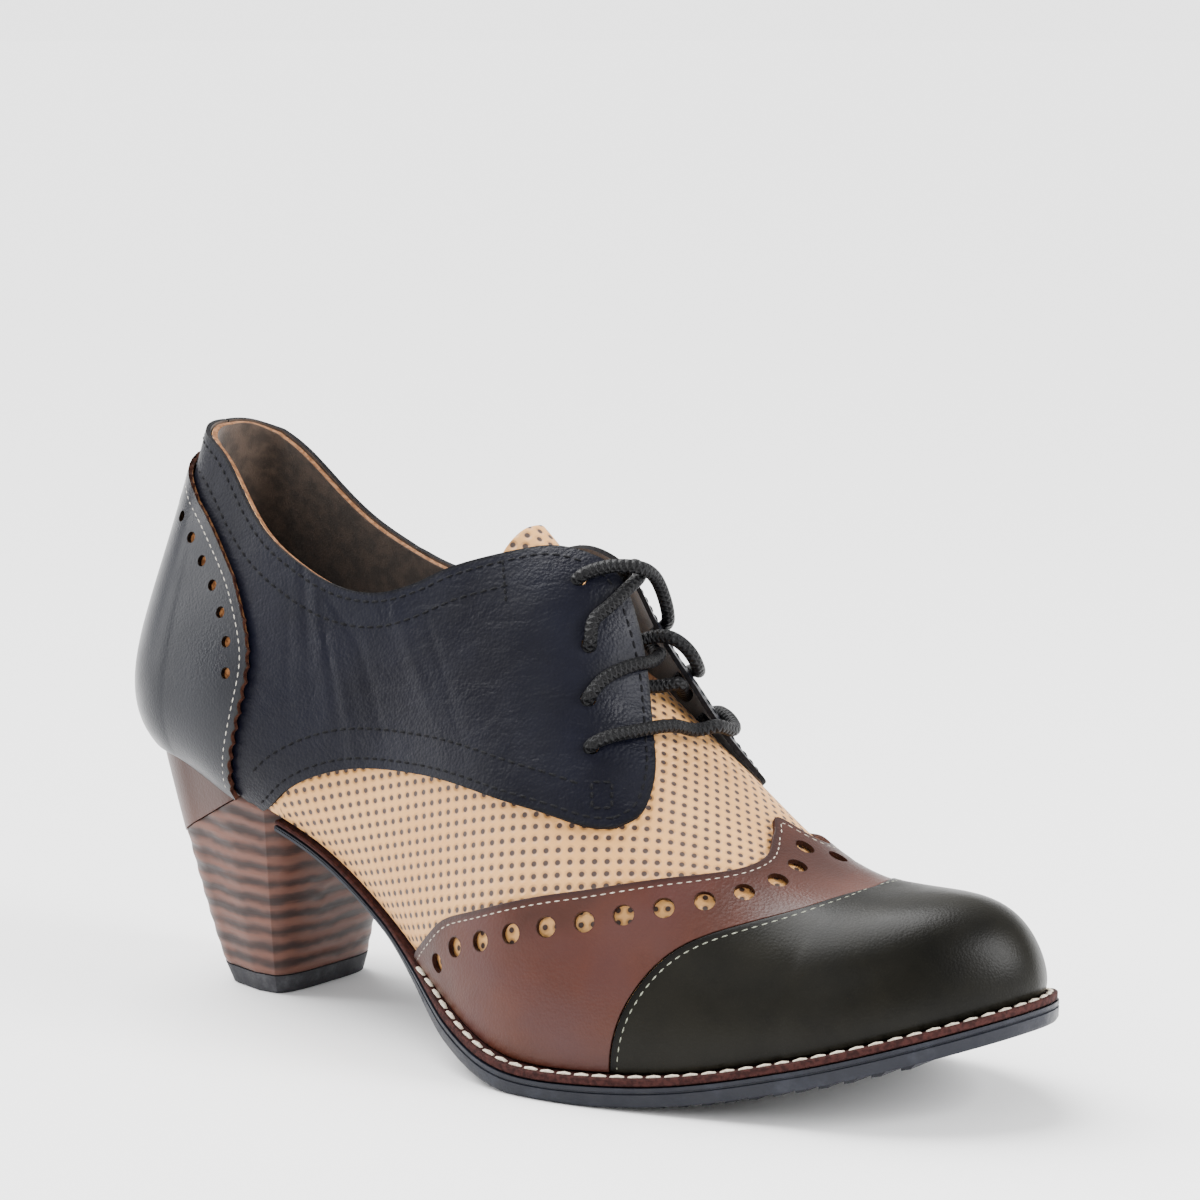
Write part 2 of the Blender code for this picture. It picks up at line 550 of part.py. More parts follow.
def plan(u, side, outset):
    """The feather line moved outwards in plan, as x and y."""
    step = 1e-3
    x, y, _ = feather(u, side)
    near, far = feather(np.maximum(u - step, 0), side), feather(np.minimum(u + step, 1), side)
    run = np.stack([far[0] - near[0], far[1] - near[1]], -1)
    run /= np.linalg.norm(run, axis=-1, keepdims=True)
    normal = side * np.stack([-run[..., 1], run[..., 0]], -1)
    ends = (u < 1e-6) | (u > 1 - 1e-6)
    normal = np.where(ends[..., None], np.stack([np.where(u < 0.5, -1.0, 1.0), 0 * u], -1), normal)
    return np.stack([x + outset * normal[..., 0], y + SWING(x) + outset * normal[..., 1]], -1)


def plate(name, places, outset, top, bottom, collection, colour, roughness):
    """A sole layer: its two edges follow the feather line, and its faces follow height functions of x."""
    shape = bmesh.new()
    rings = []
    for height in (top, bottom):
        rings.append([[], []])
        for ring, side in zip(rings[-1], (LATERAL, MEDIAL)):
            for x, y in plan(places, side, outset):
                ring.append(shape.verts.new(Vector((x, y, float(height(x)))) - MIDDLE))
    (upper_left, upper_right), (lower_left, lower_right) = rings
    for i in range(len(places) - 1):
        shape.faces.new((upper_left[i], upper_left[i + 1], upper_right[i + 1], upper_right[i]))
        shape.faces.new((lower_left[i], lower_right[i], lower_right[i + 1], lower_left[i + 1]))
        shape.faces.new((upper_left[i], lower_left[i], lower_left[i + 1], upper_left[i + 1]))
        shape.faces.new((upper_right[i], upper_right[i + 1], lower_right[i + 1], lower_right[i]))
    for i in (0, -1):
        if (upper_left[i].co - upper_right[i].co).length > 0.1 * MM:
            shape.faces.new((upper_left[i], upper_right[i], lower_right[i], lower_left[i]))
    return closed_object(name, shape, collection, colour, roughness)


def closed_object(name, shape, collection, colour, roughness):
    bmesh.ops.remove_doubles(shape, verts=shape.verts, dist=0.005 * MM)
    bmesh.ops.dissolve_degenerate(shape, edges=shape.edges, dist=0.002 * MM)
    bmesh.ops.recalc_face_normals(shape, faces=shape.faces)
    mesh = bpy.data.meshes.new(name)
    shape.to_mesh(mesh)
    shape.free()
    obj = new_object(name, mesh, collection, colour, roughness)
    mesh.shade_smooth()
    mesh.set_sharp_from_angle(angle=math.radians(35))
    return obj


def forepart_share(x):
    share = np.clip((x - WAIST_END) / (FOREPART_START - WAIST_END), 0, 1)
    return share * share * (3 - 2 * share)


def welt_top(x):
    return feather_height(x) - GAP


def welt_bottom(x):
    return welt_top(x) - WAIST_WELT - (WELT_THICKNESS - WAIST_WELT) * forepart_share(x)


def outsole_top(x):
    return welt_bottom(x) - GAP


def outsole_bottom(x):
    """The tread face, cut flat on the floor under the ball."""
    thickness = WAIST_OUTSOLE + (OUTSOLE_THICKNESS - WAIST_OUTSOLE) * forepart_share(x)
    return max(float(outsole_top(x) - thickness), 0.0)


def ledge(u):
    return np.interp(u, [l[0] for l in LEDGE], [l[1] * MM for l in LEDGE])


def sole_places():
    return np.concatenate([np.linspace(SOLE_START, TOE_START, 26)[:-1], np.linspace(TOE_START, 1, 13)])


def build_outsole(collection):
    places = sole_places()
    return plate(
        "outsole", places, ledge(places) + SOLE_OVER_WELT, outsole_top, outsole_bottom,
        collection, (0.012, 0.013, 0.02), 0.4,
    )


def build_welt(collection):
    """A strip from the waist round the toe, its inner edge tucked under the upper's wall."""
    shape = bmesh.new()
    places = sole_places()
    rings = []
    for side in (LATERAL, MEDIAL):
        outer, inner = plan(places, side, ledge(places)), plan(places, side, -WELT_TUCK)
        corners = []
        for (xo, yo), (xi, yi) in zip(outer, inner):
            square = ((xo, yo, welt_top(xo)), (xi, yi, welt_top(xi)), (xi, yi, welt_bottom(xi)), (xo, yo, welt_bottom(xo)))
            corners.append([shape.verts.new(Vector([float(c) for c in p]) - MIDDLE) for p in square])
        rings.append(corners)
    for corners in rings:
        shape.faces.new(corners[0])
        for near, far in zip(corners, corners[1:]):
            for k in range(4):
                shape.faces.new((near[k], far[k], far[(k + 1) % 4], near[(k + 1) % 4]))
    return closed_object("welt", shape, collection, (0.045, 0.012, 0.012), 0.5)


def build_insole(collection):
    """The insole board closes the upper's foot and lies on the heel's seat and the outsole."""
    places = np.concatenate([
        np.linspace(0, HEEL_END, 8)[:-1], np.linspace(HEEL_END, TOE_START, 27)[:-1], np.linspace(TOE_START, 1, 9),
    ])
    inset = -(LINED_LEATHER - VAMP_FACE + 2.2 * GAP)
    return plate(
        "insole", places, inset, lambda x: feather_height(x) + INSOLE_THICKNESS, feather_height,
        collection, (0.16, 0.09, 0.05), 0.8,
    )


def heel_ring(share, outset=0.0):
    """The heel's outline at a share of its height, round from the breast's middle and back to it."""
    corner = HEEL_FRONT - HEEL_CORNER_START
    back_u = np.linspace(0, HEEL_END, 7)
    mid_u = np.linspace(HEEL_END, HEEL_END + 0.047, 3)[1:]
    ring = []
    for side in (LATERAL, MEDIAL):
        half = [tuple(p) for p in plan(np.concatenate([back_u, mid_u]), side, outset)]
        for angle in np.radians((40, 58, 72, 82, 87, 90)):
            x = HEEL_CORNER_START + corner * math.sin(angle) ** (2 / HEEL_CORNER_POWER)
            u = HEEL_END + (x - HEEL_TURN) / (TOE_TURN - HEEL_TURN) * (TOE_START - HEEL_END)
            wide = plan(np.array(u), side, outset)
            middle = float(SWING(x))
            half.append((x, middle + (wide[1] - middle) * math.cos(angle) ** (2 / HEEL_CORNER_POWER)))
        ring += half[::-1] if side == LATERAL else half[1:-1]
    grown = share**HEEL_BEND
    length = HEEL_FOOT_LENGTH + (1 - HEEL_FOOT_LENGTH) * grown
    width = HEEL_FOOT_WIDTH + (1 - HEEL_FOOT_WIDTH) * grown
    middle, seat = HEEL_FOOT_MIDDLE.lerp(HEEL_SEAT_MIDDLE, grown), HEEL_SEAT_MIDDLE
    return [Vector((middle.x + (x - seat.x) * length, middle.y + (y - seat.y) * width)) for x, y in ring]


def heel_loft(levels, outset=0.0):
    """A closed loft of the heel between shares of its height, capped across in strips."""
    shape = bmesh.new()
    rings = []
    seat = [Vector(p) for p in heel_ring(1.0, outset)]
    for share in levels:
        ring = []
        for place, above in zip(heel_ring(share, outset), seat):
            roof = float(feather_height(above.x)) - FOOT_GAP
            ring.append(shape.verts.new(Vector((place.x, place.y, share * roof)) - MIDDLE))
        rings.append(ring)
    count = len(rings[0])
    for low, high in zip(rings, rings[1:]):
        for k in range(count):
            shape.faces.new((low[k], low[(k + 1) % count], high[(k + 1) % count], high[k]))
    for ring in (rings[0], rings[-1]):
        for k in range(count // 2):
            strip = (ring[k], ring[k + 1], ring[count - 1 - k], ring[-k]) if k else (ring[0], ring[1], ring[-1])
            if k < count // 2 - 1:
                shape.faces.new(strip)
            else:
                shape.faces.new((ring[k], ring[k + 1], ring[-k]))
    bmesh.ops.recalc_face_normals(shape, faces=shape.faces)
    return shape


def trim(shape, point, normal):
    """Cut off what lies beyond the plane and close the cut."""
    everything = shape.verts[:] + shape.edges[:] + shape.faces[:]
    cut = bmesh.ops.bisect_plane(
        shape, geom=everything, dist=1e-7, plane_co=Vector(point) - MIDDLE, plane_no=normal, clear_outer=True
    )
    edges = [e for e in cut["geom_cut"] if isinstance(e, bmesh.types.BMEdge)]
    bmesh.ops.holes_fill(shape, edges=edges, sides=0)


def build_heel(collection):
    """The stacked heel, its leather cover at the seat and its top lift on the floor."""
    levels = (0, 0.2, 0.4, 0.6, 0.8, 1)
    slope = Vector((-WRAP_SLOPE, 0, 1)).normalized()
    stack = heel_loft(levels)
    trim(stack, (0, 0, WRAP_BACK_HEIGHT - 0.5 * GAP), slope)
    trim(stack, (0, 0, TOP_LIFT_THICKNESS + GAP), Vector((0, 0, -1)))
    closed_object("heel_stack", stack, collection, (0.14, 0.06, 0.04), 0.6)
    wrap = heel_loft(levels, WRAP_PROUD)
    trim(wrap, (0, 0, WRAP_BACK_HEIGHT + 0.5 * GAP), -slope)
    closed_object("heel_wrap", wrap, collection, (0.11, 0.05, 0.032), 0.5)
    lift = heel_loft((0, 0.2))
    trim(lift, (0, 0, TOP_LIFT_THICKNESS), Vector((0, 0, 1)))
    closed_object("top_lift", lift, collection, (0.03, 0.03, 0.033), 0.7)


def main():
    for obj in list(bpy.data.objects):
        bpy.data.objects.remove(obj, do_unlink=True)
    shoe = bpy.data.collections.new("heeled_oxford")
    punches = bpy.data.collections.new("punches")
    for collection in (shoe, punches):
        bpy.context.scene.collection.children.link(collection)
    build_upper(shoe)
    build_wing_tip(shoe)
    build_toe_cap(shoe)
    build_quarter(LATERAL, shoe)
    build_quarter(MEDIAL, shoe)
    build_counter(shoe)
    build_tongue(shoe)
    build_laces(shoe)
    build_insole(shoe)
    build_welt(shoe)
    build_outsole(shoe)
    build_heel(shoe)


main()
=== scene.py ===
"""The look of a woman's heeled lace-up shoe: leathers, edges, punched holes, thread, laces and sole.

Metres, +Z up. The toe points along +X and the outer side of the foot is -Y. Each leather piece is cut
again from the last that the solids were made on, finely enough to take creases and a finished edge.
A place on the last is (u, v, side): u runs along its feather line from the heel, 0, to the toe, 1;
v runs up a section from the feather line, 0, to the ridge, 1.
"""

import math
from collections import namedtuple

import bmesh
import bpy
import numpy as np
from mathutils import Matrix, Vector


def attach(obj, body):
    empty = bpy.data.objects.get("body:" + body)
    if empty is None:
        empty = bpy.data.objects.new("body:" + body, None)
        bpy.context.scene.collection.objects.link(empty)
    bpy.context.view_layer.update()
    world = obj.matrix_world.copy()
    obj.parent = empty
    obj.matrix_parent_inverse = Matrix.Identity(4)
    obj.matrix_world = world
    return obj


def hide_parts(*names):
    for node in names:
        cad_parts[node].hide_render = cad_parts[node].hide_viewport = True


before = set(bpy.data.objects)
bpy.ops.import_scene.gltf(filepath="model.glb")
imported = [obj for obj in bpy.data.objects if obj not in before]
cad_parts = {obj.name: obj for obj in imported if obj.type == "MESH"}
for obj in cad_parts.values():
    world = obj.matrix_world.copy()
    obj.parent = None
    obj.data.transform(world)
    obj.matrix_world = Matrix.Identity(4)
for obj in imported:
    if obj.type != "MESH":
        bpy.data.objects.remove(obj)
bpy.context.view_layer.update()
bpy.ops.object.select_all(action="DESELECT")

MM = 0.001
LATERAL, MEDIAL = -1, 1
SIDES = (LATERAL, MEDIAL)

# Driving dimensions
LAST_LENGTH = 255 * MM
BALL_WIDTH = 83 * MM
INSTEP_HEIGHT = 111 * MM
SEAT_LIFT = 52 * MM
TOE_SPRING = 16.6 * MM
SOLE_EDGE = 7 * MM

# The last's ends: where the heel's and the toe's curves turn about
HEEL_BACK = 7.2 * MM
HEEL_TURN = 28 * MM
TOE_TURN = 215 * MM
HEEL_ROUND = 2.05
TOE_ROUND = 1.74
HEEL_END, TOE_START = 0.22, 0.74
SWELL_PEAK = 0.22

# The box of the finished shoe has its middle here in the last's own frame
MIDDLE = Vector((129.8 * MM, -4.7 * MM, 0))

# Leather and sole thicknesses, and the gaps: between edges, between curved layers, over the welt
GAP = 0.3 * MM
LAYER_GAP = 0.5 * MM
FOOT_GAP = 0.4 * MM
LINED_LEATHER = 1.5 * MM
OVERLAY_LEATHER = 1.2 * MM
CAP_LEATHER = 1.5 * MM
TONGUE_LEATHER = 1.8 * MM
WELT_THICKNESS = 1.9 * MM
OUTSOLE_THICKNESS = 4.5 * MM
WAIST_WELT = 1.0 * MM
WAIST_OUTSOLE = 1.5 * MM
INSOLE_THICKNESS = 2.0 * MM

# How far the outer face of each layer stands off the last's form
VAMP_FACE = -1.3 * MM
OVERLAY_FACE = VAMP_FACE + LAYER_GAP + OVERLAY_LEATHER
CAP_FACE = VAMP_FACE + LAYER_GAP + CAP_LEATHER
COUNTER_FACE = OVERLAY_FACE + 1.2 * LAYER_GAP + OVERLAY_LEATHER
TONGUE_FACE = VAMP_FACE - LINED_LEATHER - 4 * LAYER_GAP

Section = namedtuple(
    "Section",
    "along lateral medial seat spring crown fullness swell_lateral swell_medial swing lean taper",
)
# along: share of the length; lateral, medial: half widths, shares of the ball width
# seat, spring: shares of the seat lift and the toe spring; crown: share of the instep height
# swing, lean: sideways places of the feather and the ridge, in millimetres
SECTIONS = [
    Section(0.000, 0.283, 0.259, 1.038, 0.000, 1.604, 2.80, 0.43, 0.38, 1.5, 1.5, 0.76),
    Section(0.110, 0.304, 0.277, 1.000, 0.000, 1.532, 2.75, 0.39, 0.34, 0.0, 2.0, 0.54),
    Section(0.196, 0.332, 0.291, 0.862, 0.000, 1.432, 2.60, 0.26, 0.23, -1.0, 2.0, 0.30),
    Section(0.294, 0.333, 0.289, 0.692, 0.000, 1.333, 2.40, 0.18, 0.18, -1.5, 2.2, 0.10),
    Section(0.392, 0.361, 0.313, 0.412, 0.000, 1.180, 2.25, 0.15, 0.18, -1.5, 2.4, 0.00),
    Section(0.490, 0.464, 0.380, 0.158, 0.000, 1.000, 2.20, 0.10, 0.13, -1.6, 3.0, 0.00),
    Section(0.588, 0.554, 0.446, 0.006, 0.000, 0.797, 2.20, 0.05, 0.08, -1.6, 3.2, 0.00),
    Section(0.667, 0.547, 0.464, 0.000, 0.000, 0.640, 2.30, 0.03, 0.05, -0.3, 3.2, 0.00),
    Section(0.745, 0.494, 0.440, 0.000, 0.102, 0.495, 2.48, 0.03, 0.04, 1.2, 2.2, 0.00),
    Section(0.831, 0.428, 0.380, 0.000, 0.386, 0.422, 2.68, 0.03, 0.03, 3.4, 1.0, 0.00),
    Section(0.961, 0.361, 0.319, 0.000, 1.000, 0.465, 2.95, 0.03, 0.03, 7.2, 0.0, 0.05),
]

Mark = namedtuple("Mark", "u v")
# The topline and the throat, where the lined upper ends
TOPLINE = [
    Mark(0.000, 0.420), Mark(0.100, 0.420), Mark(0.190, 0.415), Mark(0.235, 0.406),
    Mark(0.262, 0.378), Mark(0.290, 0.358), Mark(0.318, 0.356), Mark(0.345, 0.366),
    Mark(0.378, 0.408), Mark(0.412, 0.500), Mark(0.440, 0.590), Mark(0.470, 0.630), Mark(0.500, 0.650),
    Mark(0.530, 0.690), Mark(0.550, 0.780), Mark(0.566, 1.000),
]
THROAT_START = 0.49
# The front of the wing tip and the seam of the toe cap, read up each side to the ridge
WING_SIDE = [
    Mark(0.452, 0.00), Mark(0.475, 0.06), Mark(0.495, 0.12), Mark(0.517, 0.17),
    Mark(0.547, 0.24), Mark(0.577, 0.31), Mark(0.598, 0.36), Mark(0.623, 0.44),
    Mark(0.643, 0.53), Mark(0.664, 0.66),
]
# Its peak stands a little to the inner side of the ridge
WING_EDGE = {
    LATERAL: WING_SIDE + [Mark(0.675, 0.77), Mark(0.678, 0.85), Mark(0.674, 0.94), Mark(0.665, 1.00)],
    MEDIAL: WING_SIDE + [
        Mark(0.676, 0.75), Mark(0.676, 0.80), Mark(0.671, 0.85), Mark(0.661, 0.90), Mark(0.656, 0.935),
        Mark(0.665, 1.00),
    ],
}
CAP_SEAM = [
    Mark(0.635, 0.00), Mark(0.639, 0.09), Mark(0.650, 0.21), Mark(0.668, 0.35),
    Mark(0.695, 0.51), Mark(0.722, 0.70), Mark(0.735, 0.88), Mark(0.740, 1.00),
]
# A quarter's four edges: along the sole and the arch, up the facing, along the collar, up the back
QUARTER_FOOT = [
    Mark(0.000, 0.000), Mark(0.100, 0.000), Mark(0.200, 0.000), Mark(0.280, 0.000),
    Mark(0.310, 0.004), Mark(0.330, 0.034), Mark(0.352, 0.075), Mark(0.388, 0.146),
    Mark(0.432, 0.228), Mark(0.477, 0.307), Mark(0.530, 0.400), Mark(0.568, 0.470),
    Mark(0.592, 0.512), Mark(0.606, 0.560),
]
FACING_EDGE = {
    LATERAL: [
        Mark(0.606, 0.560), Mark(0.614, 0.640), Mark(0.612, 0.730), Mark(0.602, 0.820),
        Mark(0.592, 0.870), Mark(0.578, 0.925), Mark(0.560, 0.965), Mark(0.540, 0.980),
        Mark(0.522, 0.984), Mark(0.508, 0.975),
    ],
    MEDIAL: [
        Mark(0.606, 0.560), Mark(0.615, 0.640), Mark(0.615, 0.720), Mark(0.607, 0.800),
        Mark(0.596, 0.870), Mark(0.582, 0.925), Mark(0.564, 0.950), Mark(0.540, 0.945),
        Mark(0.520, 0.925), Mark(0.500, 0.890),
    ],
}
COLLAR_BACK = [
    Mark(0.000, 0.423), Mark(0.100, 0.423), Mark(0.190, 0.418), Mark(0.235, 0.410),
    Mark(0.262, 0.381), Mark(0.290, 0.360), Mark(0.318, 0.358), Mark(0.345, 0.368),
    Mark(0.378, 0.414), Mark(0.412, 0.515), Mark(0.440, 0.650),
]
COLLAR_EDGE = {
    LATERAL: COLLAR_BACK + [Mark(0.462, 0.770), Mark(0.478, 0.870), Mark(0.492, 0.940), Mark(0.508, 0.975)],
    MEDIAL: COLLAR_BACK + [Mark(0.460, 0.740), Mark(0.474, 0.810), Mark(0.486, 0.855), Mark(0.500, 0.890)],
}
# The edges of the counter: its curved front edge and its top
COUNTER_FRONT = [
    Mark(0.283, 0.000), Mark(0.290, 0.053), Mark(0.295, 0.113), Mark(0.295, 0.170),
    Mark(0.285, 0.213), Mark(0.270, 0.250),
]
COUNTER_TOP = [
    Mark(0.000, 0.362), Mark(0.080, 0.352), Mark(0.148, 0.334), Mark(0.225, 0.300),
    Mark(0.248, 0.277), Mark(0.270, 0.250),
]

Spring = namedtuple("Spring", "u lateral medial")
# How far the unlaced facings spring up off the instep at the ridge, in millimetres
FACING_SPRING = [
    Spring(0.400, 4.0, 4.0), Spring(0.440, 7.0, 7.5), Spring(0.480, 11.0, 12.5),
    Spring(0.508, 14.5, 15.0), Spring(0.530, 13.0, 13.0), Spring(0.555, 8.0, 10.0),
    Spring(0.580, 2.8, 7.5), Spring(0.600, 0.7, 3.5), Spring(0.616, 0.0, 0.0),
]
SPRING_START, SPRING_FULL, SPRING_BEND = 0.55, 0.97, 1.4

# The eyelet holes of each facing, from the top
EYELETS = [Mark(0.510, 0.905), Mark(0.538, 0.840), Mark(0.556, 0.760), Mark(0.572, 0.680)]
EYELET_HOLE = 1.75 * MM
# The quarters stop just short of each other at the back
BACK_SEAM = 0.006

# The tongue: where its centre rises clear of the throat, in millimetres above the last
TONGUE_TIP, TONGUE_ROOT, TONGUE_SIDE = 0.465, 0.625, 0.60
TONGUE_CORNER, TONGUE_BEND = 0.018, 0.70
TONGUE_RISE = [(0.440, 9.4), (0.465, 9.4), (0.490, 8.9), (0.515, 7.5), (0.535, 5.0), (0.550, 2.5), (0.563, 0.0)]

# The welt's ledge outside the feather line, in millimetres, at places along it
LEDGE = [(0.30, 0.6), (0.42, 0.6), (0.46, 1.6), (0.50, 3.2), (0.54, 3.7), (1.00, 3.7)]
SOLE_OVER_WELT = 0.3 * MM
WELT_TUCK = 2.7 * MM
SOLE_START = 0.3150
WAIST_END, FOREPART_START = 100 * MM, 128 * MM

# The heel: its seat outline shrinks towards the floor
HEEL_FRONT = 61.5 * MM
HEEL_CORNER_START = 42 * MM
HEEL_CORNER_POWER = 4.2
HEEL_FOOT_LENGTH, HEEL_FOOT_WIDTH = 0.47, 0.67
HEEL_FOOT_MIDDLE = Vector((42.0 * MM, -2.4 * MM))
HEEL_SEAT_MIDDLE = Vector((34.3 * MM, -2.0 * MM))
HEEL_BEND = 0.80
TOP_LIFT_THICKNESS = 4.6 * MM
WRAP_BACK_HEIGHT = 26.8 * MM
WRAP_SLOPE = 0.505
WRAP_PROUD = 0.5 * MM


def spline(places, values):
    """A natural cubic spline through the given places, straight beyond its ends."""
    places, values = np.asarray(places, float), np.asarray(values, float)
    step = np.diff(places)
    count = len(places)
    system, load = np.eye(count), np.zeros(count)
    for i in range(1, count - 1):
        system[i, i - 1 : i + 2] = step[i - 1], 2 * (step[i - 1] + step[i]), step[i]
        load[i] = 6 * ((values[i + 1] - values[i]) / step[i] - (values[i] - values[i - 1]) / step[i - 1])
    bend = np.linalg.solve(system, load)

    def at(place):
        place = np.asarray(place, float)
        i = np.clip(np.searchsorted(places, place) - 1, 0, count - 2)
        inside = np.clip(place, places[0], places[-1])
        left, right = (places[i + 1] - inside) / step[i], (inside - places[i]) / step[i]
        curve = left * values[i] + right * values[i + 1]
        curve += ((left**3 - left) * bend[i] + (right**3 - right) * bend[i + 1]) * step[i] ** 2 / 6
        slope = (values[i + 1] - values[i]) / step[i]
        slope += ((3 * right**2 - 1) * bend[i + 1] - (3 * left**2 - 1) * bend[i]) * step[i] / 6
        return curve + slope * (place - inside)

    return at


def column(name, unit=1.0):
    """One measure of the last along its length."""
    return spline([s.along * LAST_LENGTH for s in SECTIONS], [getattr(s, name) * unit for s in SECTIONS])


HALF_WIDTH = {LATERAL: column("lateral", BALL_WIDTH), MEDIAL: column("medial", BALL_WIDTH)}
SWELL = {LATERAL: column("swell_lateral"), MEDIAL: column("swell_medial")}
SEAT_SHARE, SPRING_SHARE = column("seat"), column("spring")
CROWN, FULLNESS = column("crown", INSTEP_HEIGHT), column("fullness")
SWING, LEAN, TAPER = column("swing", MM), column("lean", MM), column("taper")
RIDGE_SPRING = {
    LATERAL: spline([s.u for s in FACING_SPRING], [s.lateral * MM for s in FACING_SPRING]),
    MEDIAL: spline([s.u for s in FACING_SPRING], [s.medial * MM for s in FACING_SPRING]),
}


def feather_height(x):
    return SOLE_EDGE + SEAT_SHARE(x) * SEAT_LIFT + SPRING_SHARE(x) * TOE_SPRING


def feather(u, side):
    """The feather line in plan: x, the half width with its sign, and the x that its section turns about."""
    heel_angle = np.clip(u / HEEL_END, 0, 1) * math.pi / 2
    toe_angle = np.clip((1 - u) / (1 - TOE_START), 0, 1) * math.pi / 2
    middle = HEEL_TURN + np.clip((u - HEEL_END) / (TOE_START - HEEL_END), 0, 1) * (TOE_TURN - HEEL_TURN)
    heel_x = HEEL_TURN - (HEEL_TURN - HEEL_BACK) * np.cos(heel_angle) ** (2 / HEEL_ROUND)
    toe_x = TOE_TURN + (LAST_LENGTH - TOE_TURN) * np.cos(toe_angle) ** (2 / TOE_ROUND)
    width = HALF_WIDTH[side](middle)
    heel_y = width * np.sin(heel_angle) ** (2 / HEEL_ROUND)
    toe_y = width * np.sin(toe_angle) ** (2 / TOE_ROUND)
    x = np.where(u < HEEL_END, heel_x, np.where(u <= TOE_START, middle, toe_x))
    y = np.where(u < HEEL_END, heel_y, np.where(u <= TOE_START, width, toe_y))
    return x, side * y, middle


def swell_of(u, x, side):
    """How far the side swells, the same on both sides where they meet at the back and the toe."""
    share = 0.5 + 0.5 * np.clip(np.minimum(u, 1 - u) / HEEL_END, 0, 1)
    return SWELL[side](x) * share + SWELL[-side](x) * (1 - share)


def last(u, v, side):
    """Points on the last's form."""
    u, v = np.broadcast_arrays(np.asarray(u, float), np.asarray(v, float))
    foot_x, foot_y, turn = feather(u, side)
    angle = v * math.pi / 2
    power = 2 / FULLNESS(turn)
    rise = np.sin(angle) ** power
    swell = swell_of(u, foot_x, side) * rise / SWELL_PEAK * np.exp(1 - rise / SWELL_PEAK) * (1 - rise)
    reach = np.clip(np.cos(angle), 0, 1) ** power * (1 - TAPER(foot_x) * rise) + swell
    x = turn + (foot_x - turn) * reach
    low = feather_height(foot_x)
    z = low + (CROWN(x) - low) * rise
    y = foot_y * reach + SWING(x) + LEAN(x) * rise
    return np.stack([x, y, z], -1)


def side_normal(u, v, side):
    step = 2e-3
    inner = np.minimum(v, 0.985)
    across = last(np.minimum(u + step, 1), inner, side) - last(np.maximum(u - step, 0), inner, side)
    upward = last(u, np.minimum(v + step, 1), side) - last(u, np.maximum(v - step, 0), side)
    normal = -side * np.cross(across, upward)
    return normal / (np.linalg.norm(normal, axis=-1, keepdims=True) + 1e-12)


def last_normal(u, v, side):
    """Outward directions on the last's form, the same on both sides where they meet."""
    u, v = np.broadcast_arrays(np.asarray(u, float), np.asarray(v, float))
    normal = side_normal(u, v, side)
    shared = (normal + side_normal(u, v, -side)) * (1, 0, 1)
    shared /= np.linalg.norm(shared, axis=-1, keepdims=True) + 1e-12
    x = last(u, v, side)[..., 0]
    slope = (CROWN(x + 0.5 * MM) - CROWN(x - 0.5 * MM)) / MM
    ridge = np.stack([-slope, 0 * slope, 1 + 0 * slope], -1)
    ridge /= np.linalg.norm(ridge, axis=-1, keepdims=True)
    normal = np.where(((u < 1e-6) | (u > 1 - 1e-6))[..., None], shared, normal)
    return np.where((v > 0.999)[..., None], ridge, normal)


def off_last(u, v, side, stand_off=0.0):
    """Points that far off the form, with the leather's lower edge clear of the sole."""
    stand_off = np.asarray(stand_off, float)
    points = last(u, v, side) + last_normal(u, v, side) * stand_off[..., None]
    on_feather = np.broadcast_to(np.asarray(v) < 1e-6, points.shape[:-1])
    foot = last(u, 0, side)[..., 2] + 0.5 * FOOT_GAP
    points[..., 2] = np.where(on_feather, foot, points[..., 2])
    return points


def facing_spring(u, v, side):
    share = np.clip((v - SPRING_START) / (SPRING_FULL - SPRING_START), 0, 1.05)
    ease = np.clip((u - 0.40) / 0.04, 0, 1)
    return np.maximum(RIDGE_SPRING[side](u), 0) * share**SPRING_BEND * ease


def on_quarter(u, v, side, height=0.0):
    """A place on a quarter's outer face, or that far above it."""
    return off_last(u, v, side, OVERLAY_FACE + facing_spring(u, v, side) + height)


def lengths(points):
    """How far each point is along its line."""
    return np.concatenate([[0], np.cumsum(np.linalg.norm(np.diff(points, axis=0), axis=1))])


# The height of a section as a share of the shoe's length, so that places are spaced as on the leather
MARK_HEIGHT = 0.45


def along_marks(marks, shares):
    """(u, v) places at those shares of the length of a smooth line through the marks."""
    points = np.array([(m.u, m.v * MARK_HEIGHT) for m in marks])
    run = lengths(points)
    place = run[-1] * shares
    return np.stack([spline(run, points[:, 0])(place), spline(run, points[:, 1])(place) / MARK_HEIGHT], -1)


def climb(count, power):
    """Shares from 0 to 1 that lie closer together near the feather line, where the last rounds fastest."""
    return np.linspace(0, 1, count) ** power


def patch(foot, top, back, front):
    """A Coons patch in (u, v) between four edges, each an array of places."""
    s = np.linspace(0, 1, len(foot))[:, None, None]
    t = np.linspace(0, 1, len(back))[None, :, None]
    edges = (1 - t) * foot[:, None] + t * top[:, None] + (1 - s) * back[None] + s * front[None]
    corners = (1 - s) * (1 - t) * foot[0] + s * (1 - t) * foot[-1] + (1 - s) * t * top[0] + s * t * top[-1]
    return edges - corners


def line_across(marks):
    """u as a function of v, for a line that runs up one side to the ridge."""
    return spline([m.v for m in marks], [m.u for m in marks])


def throat_edge():
    return spline([m.u for m in TOPLINE], [m.v for m in TOPLINE])


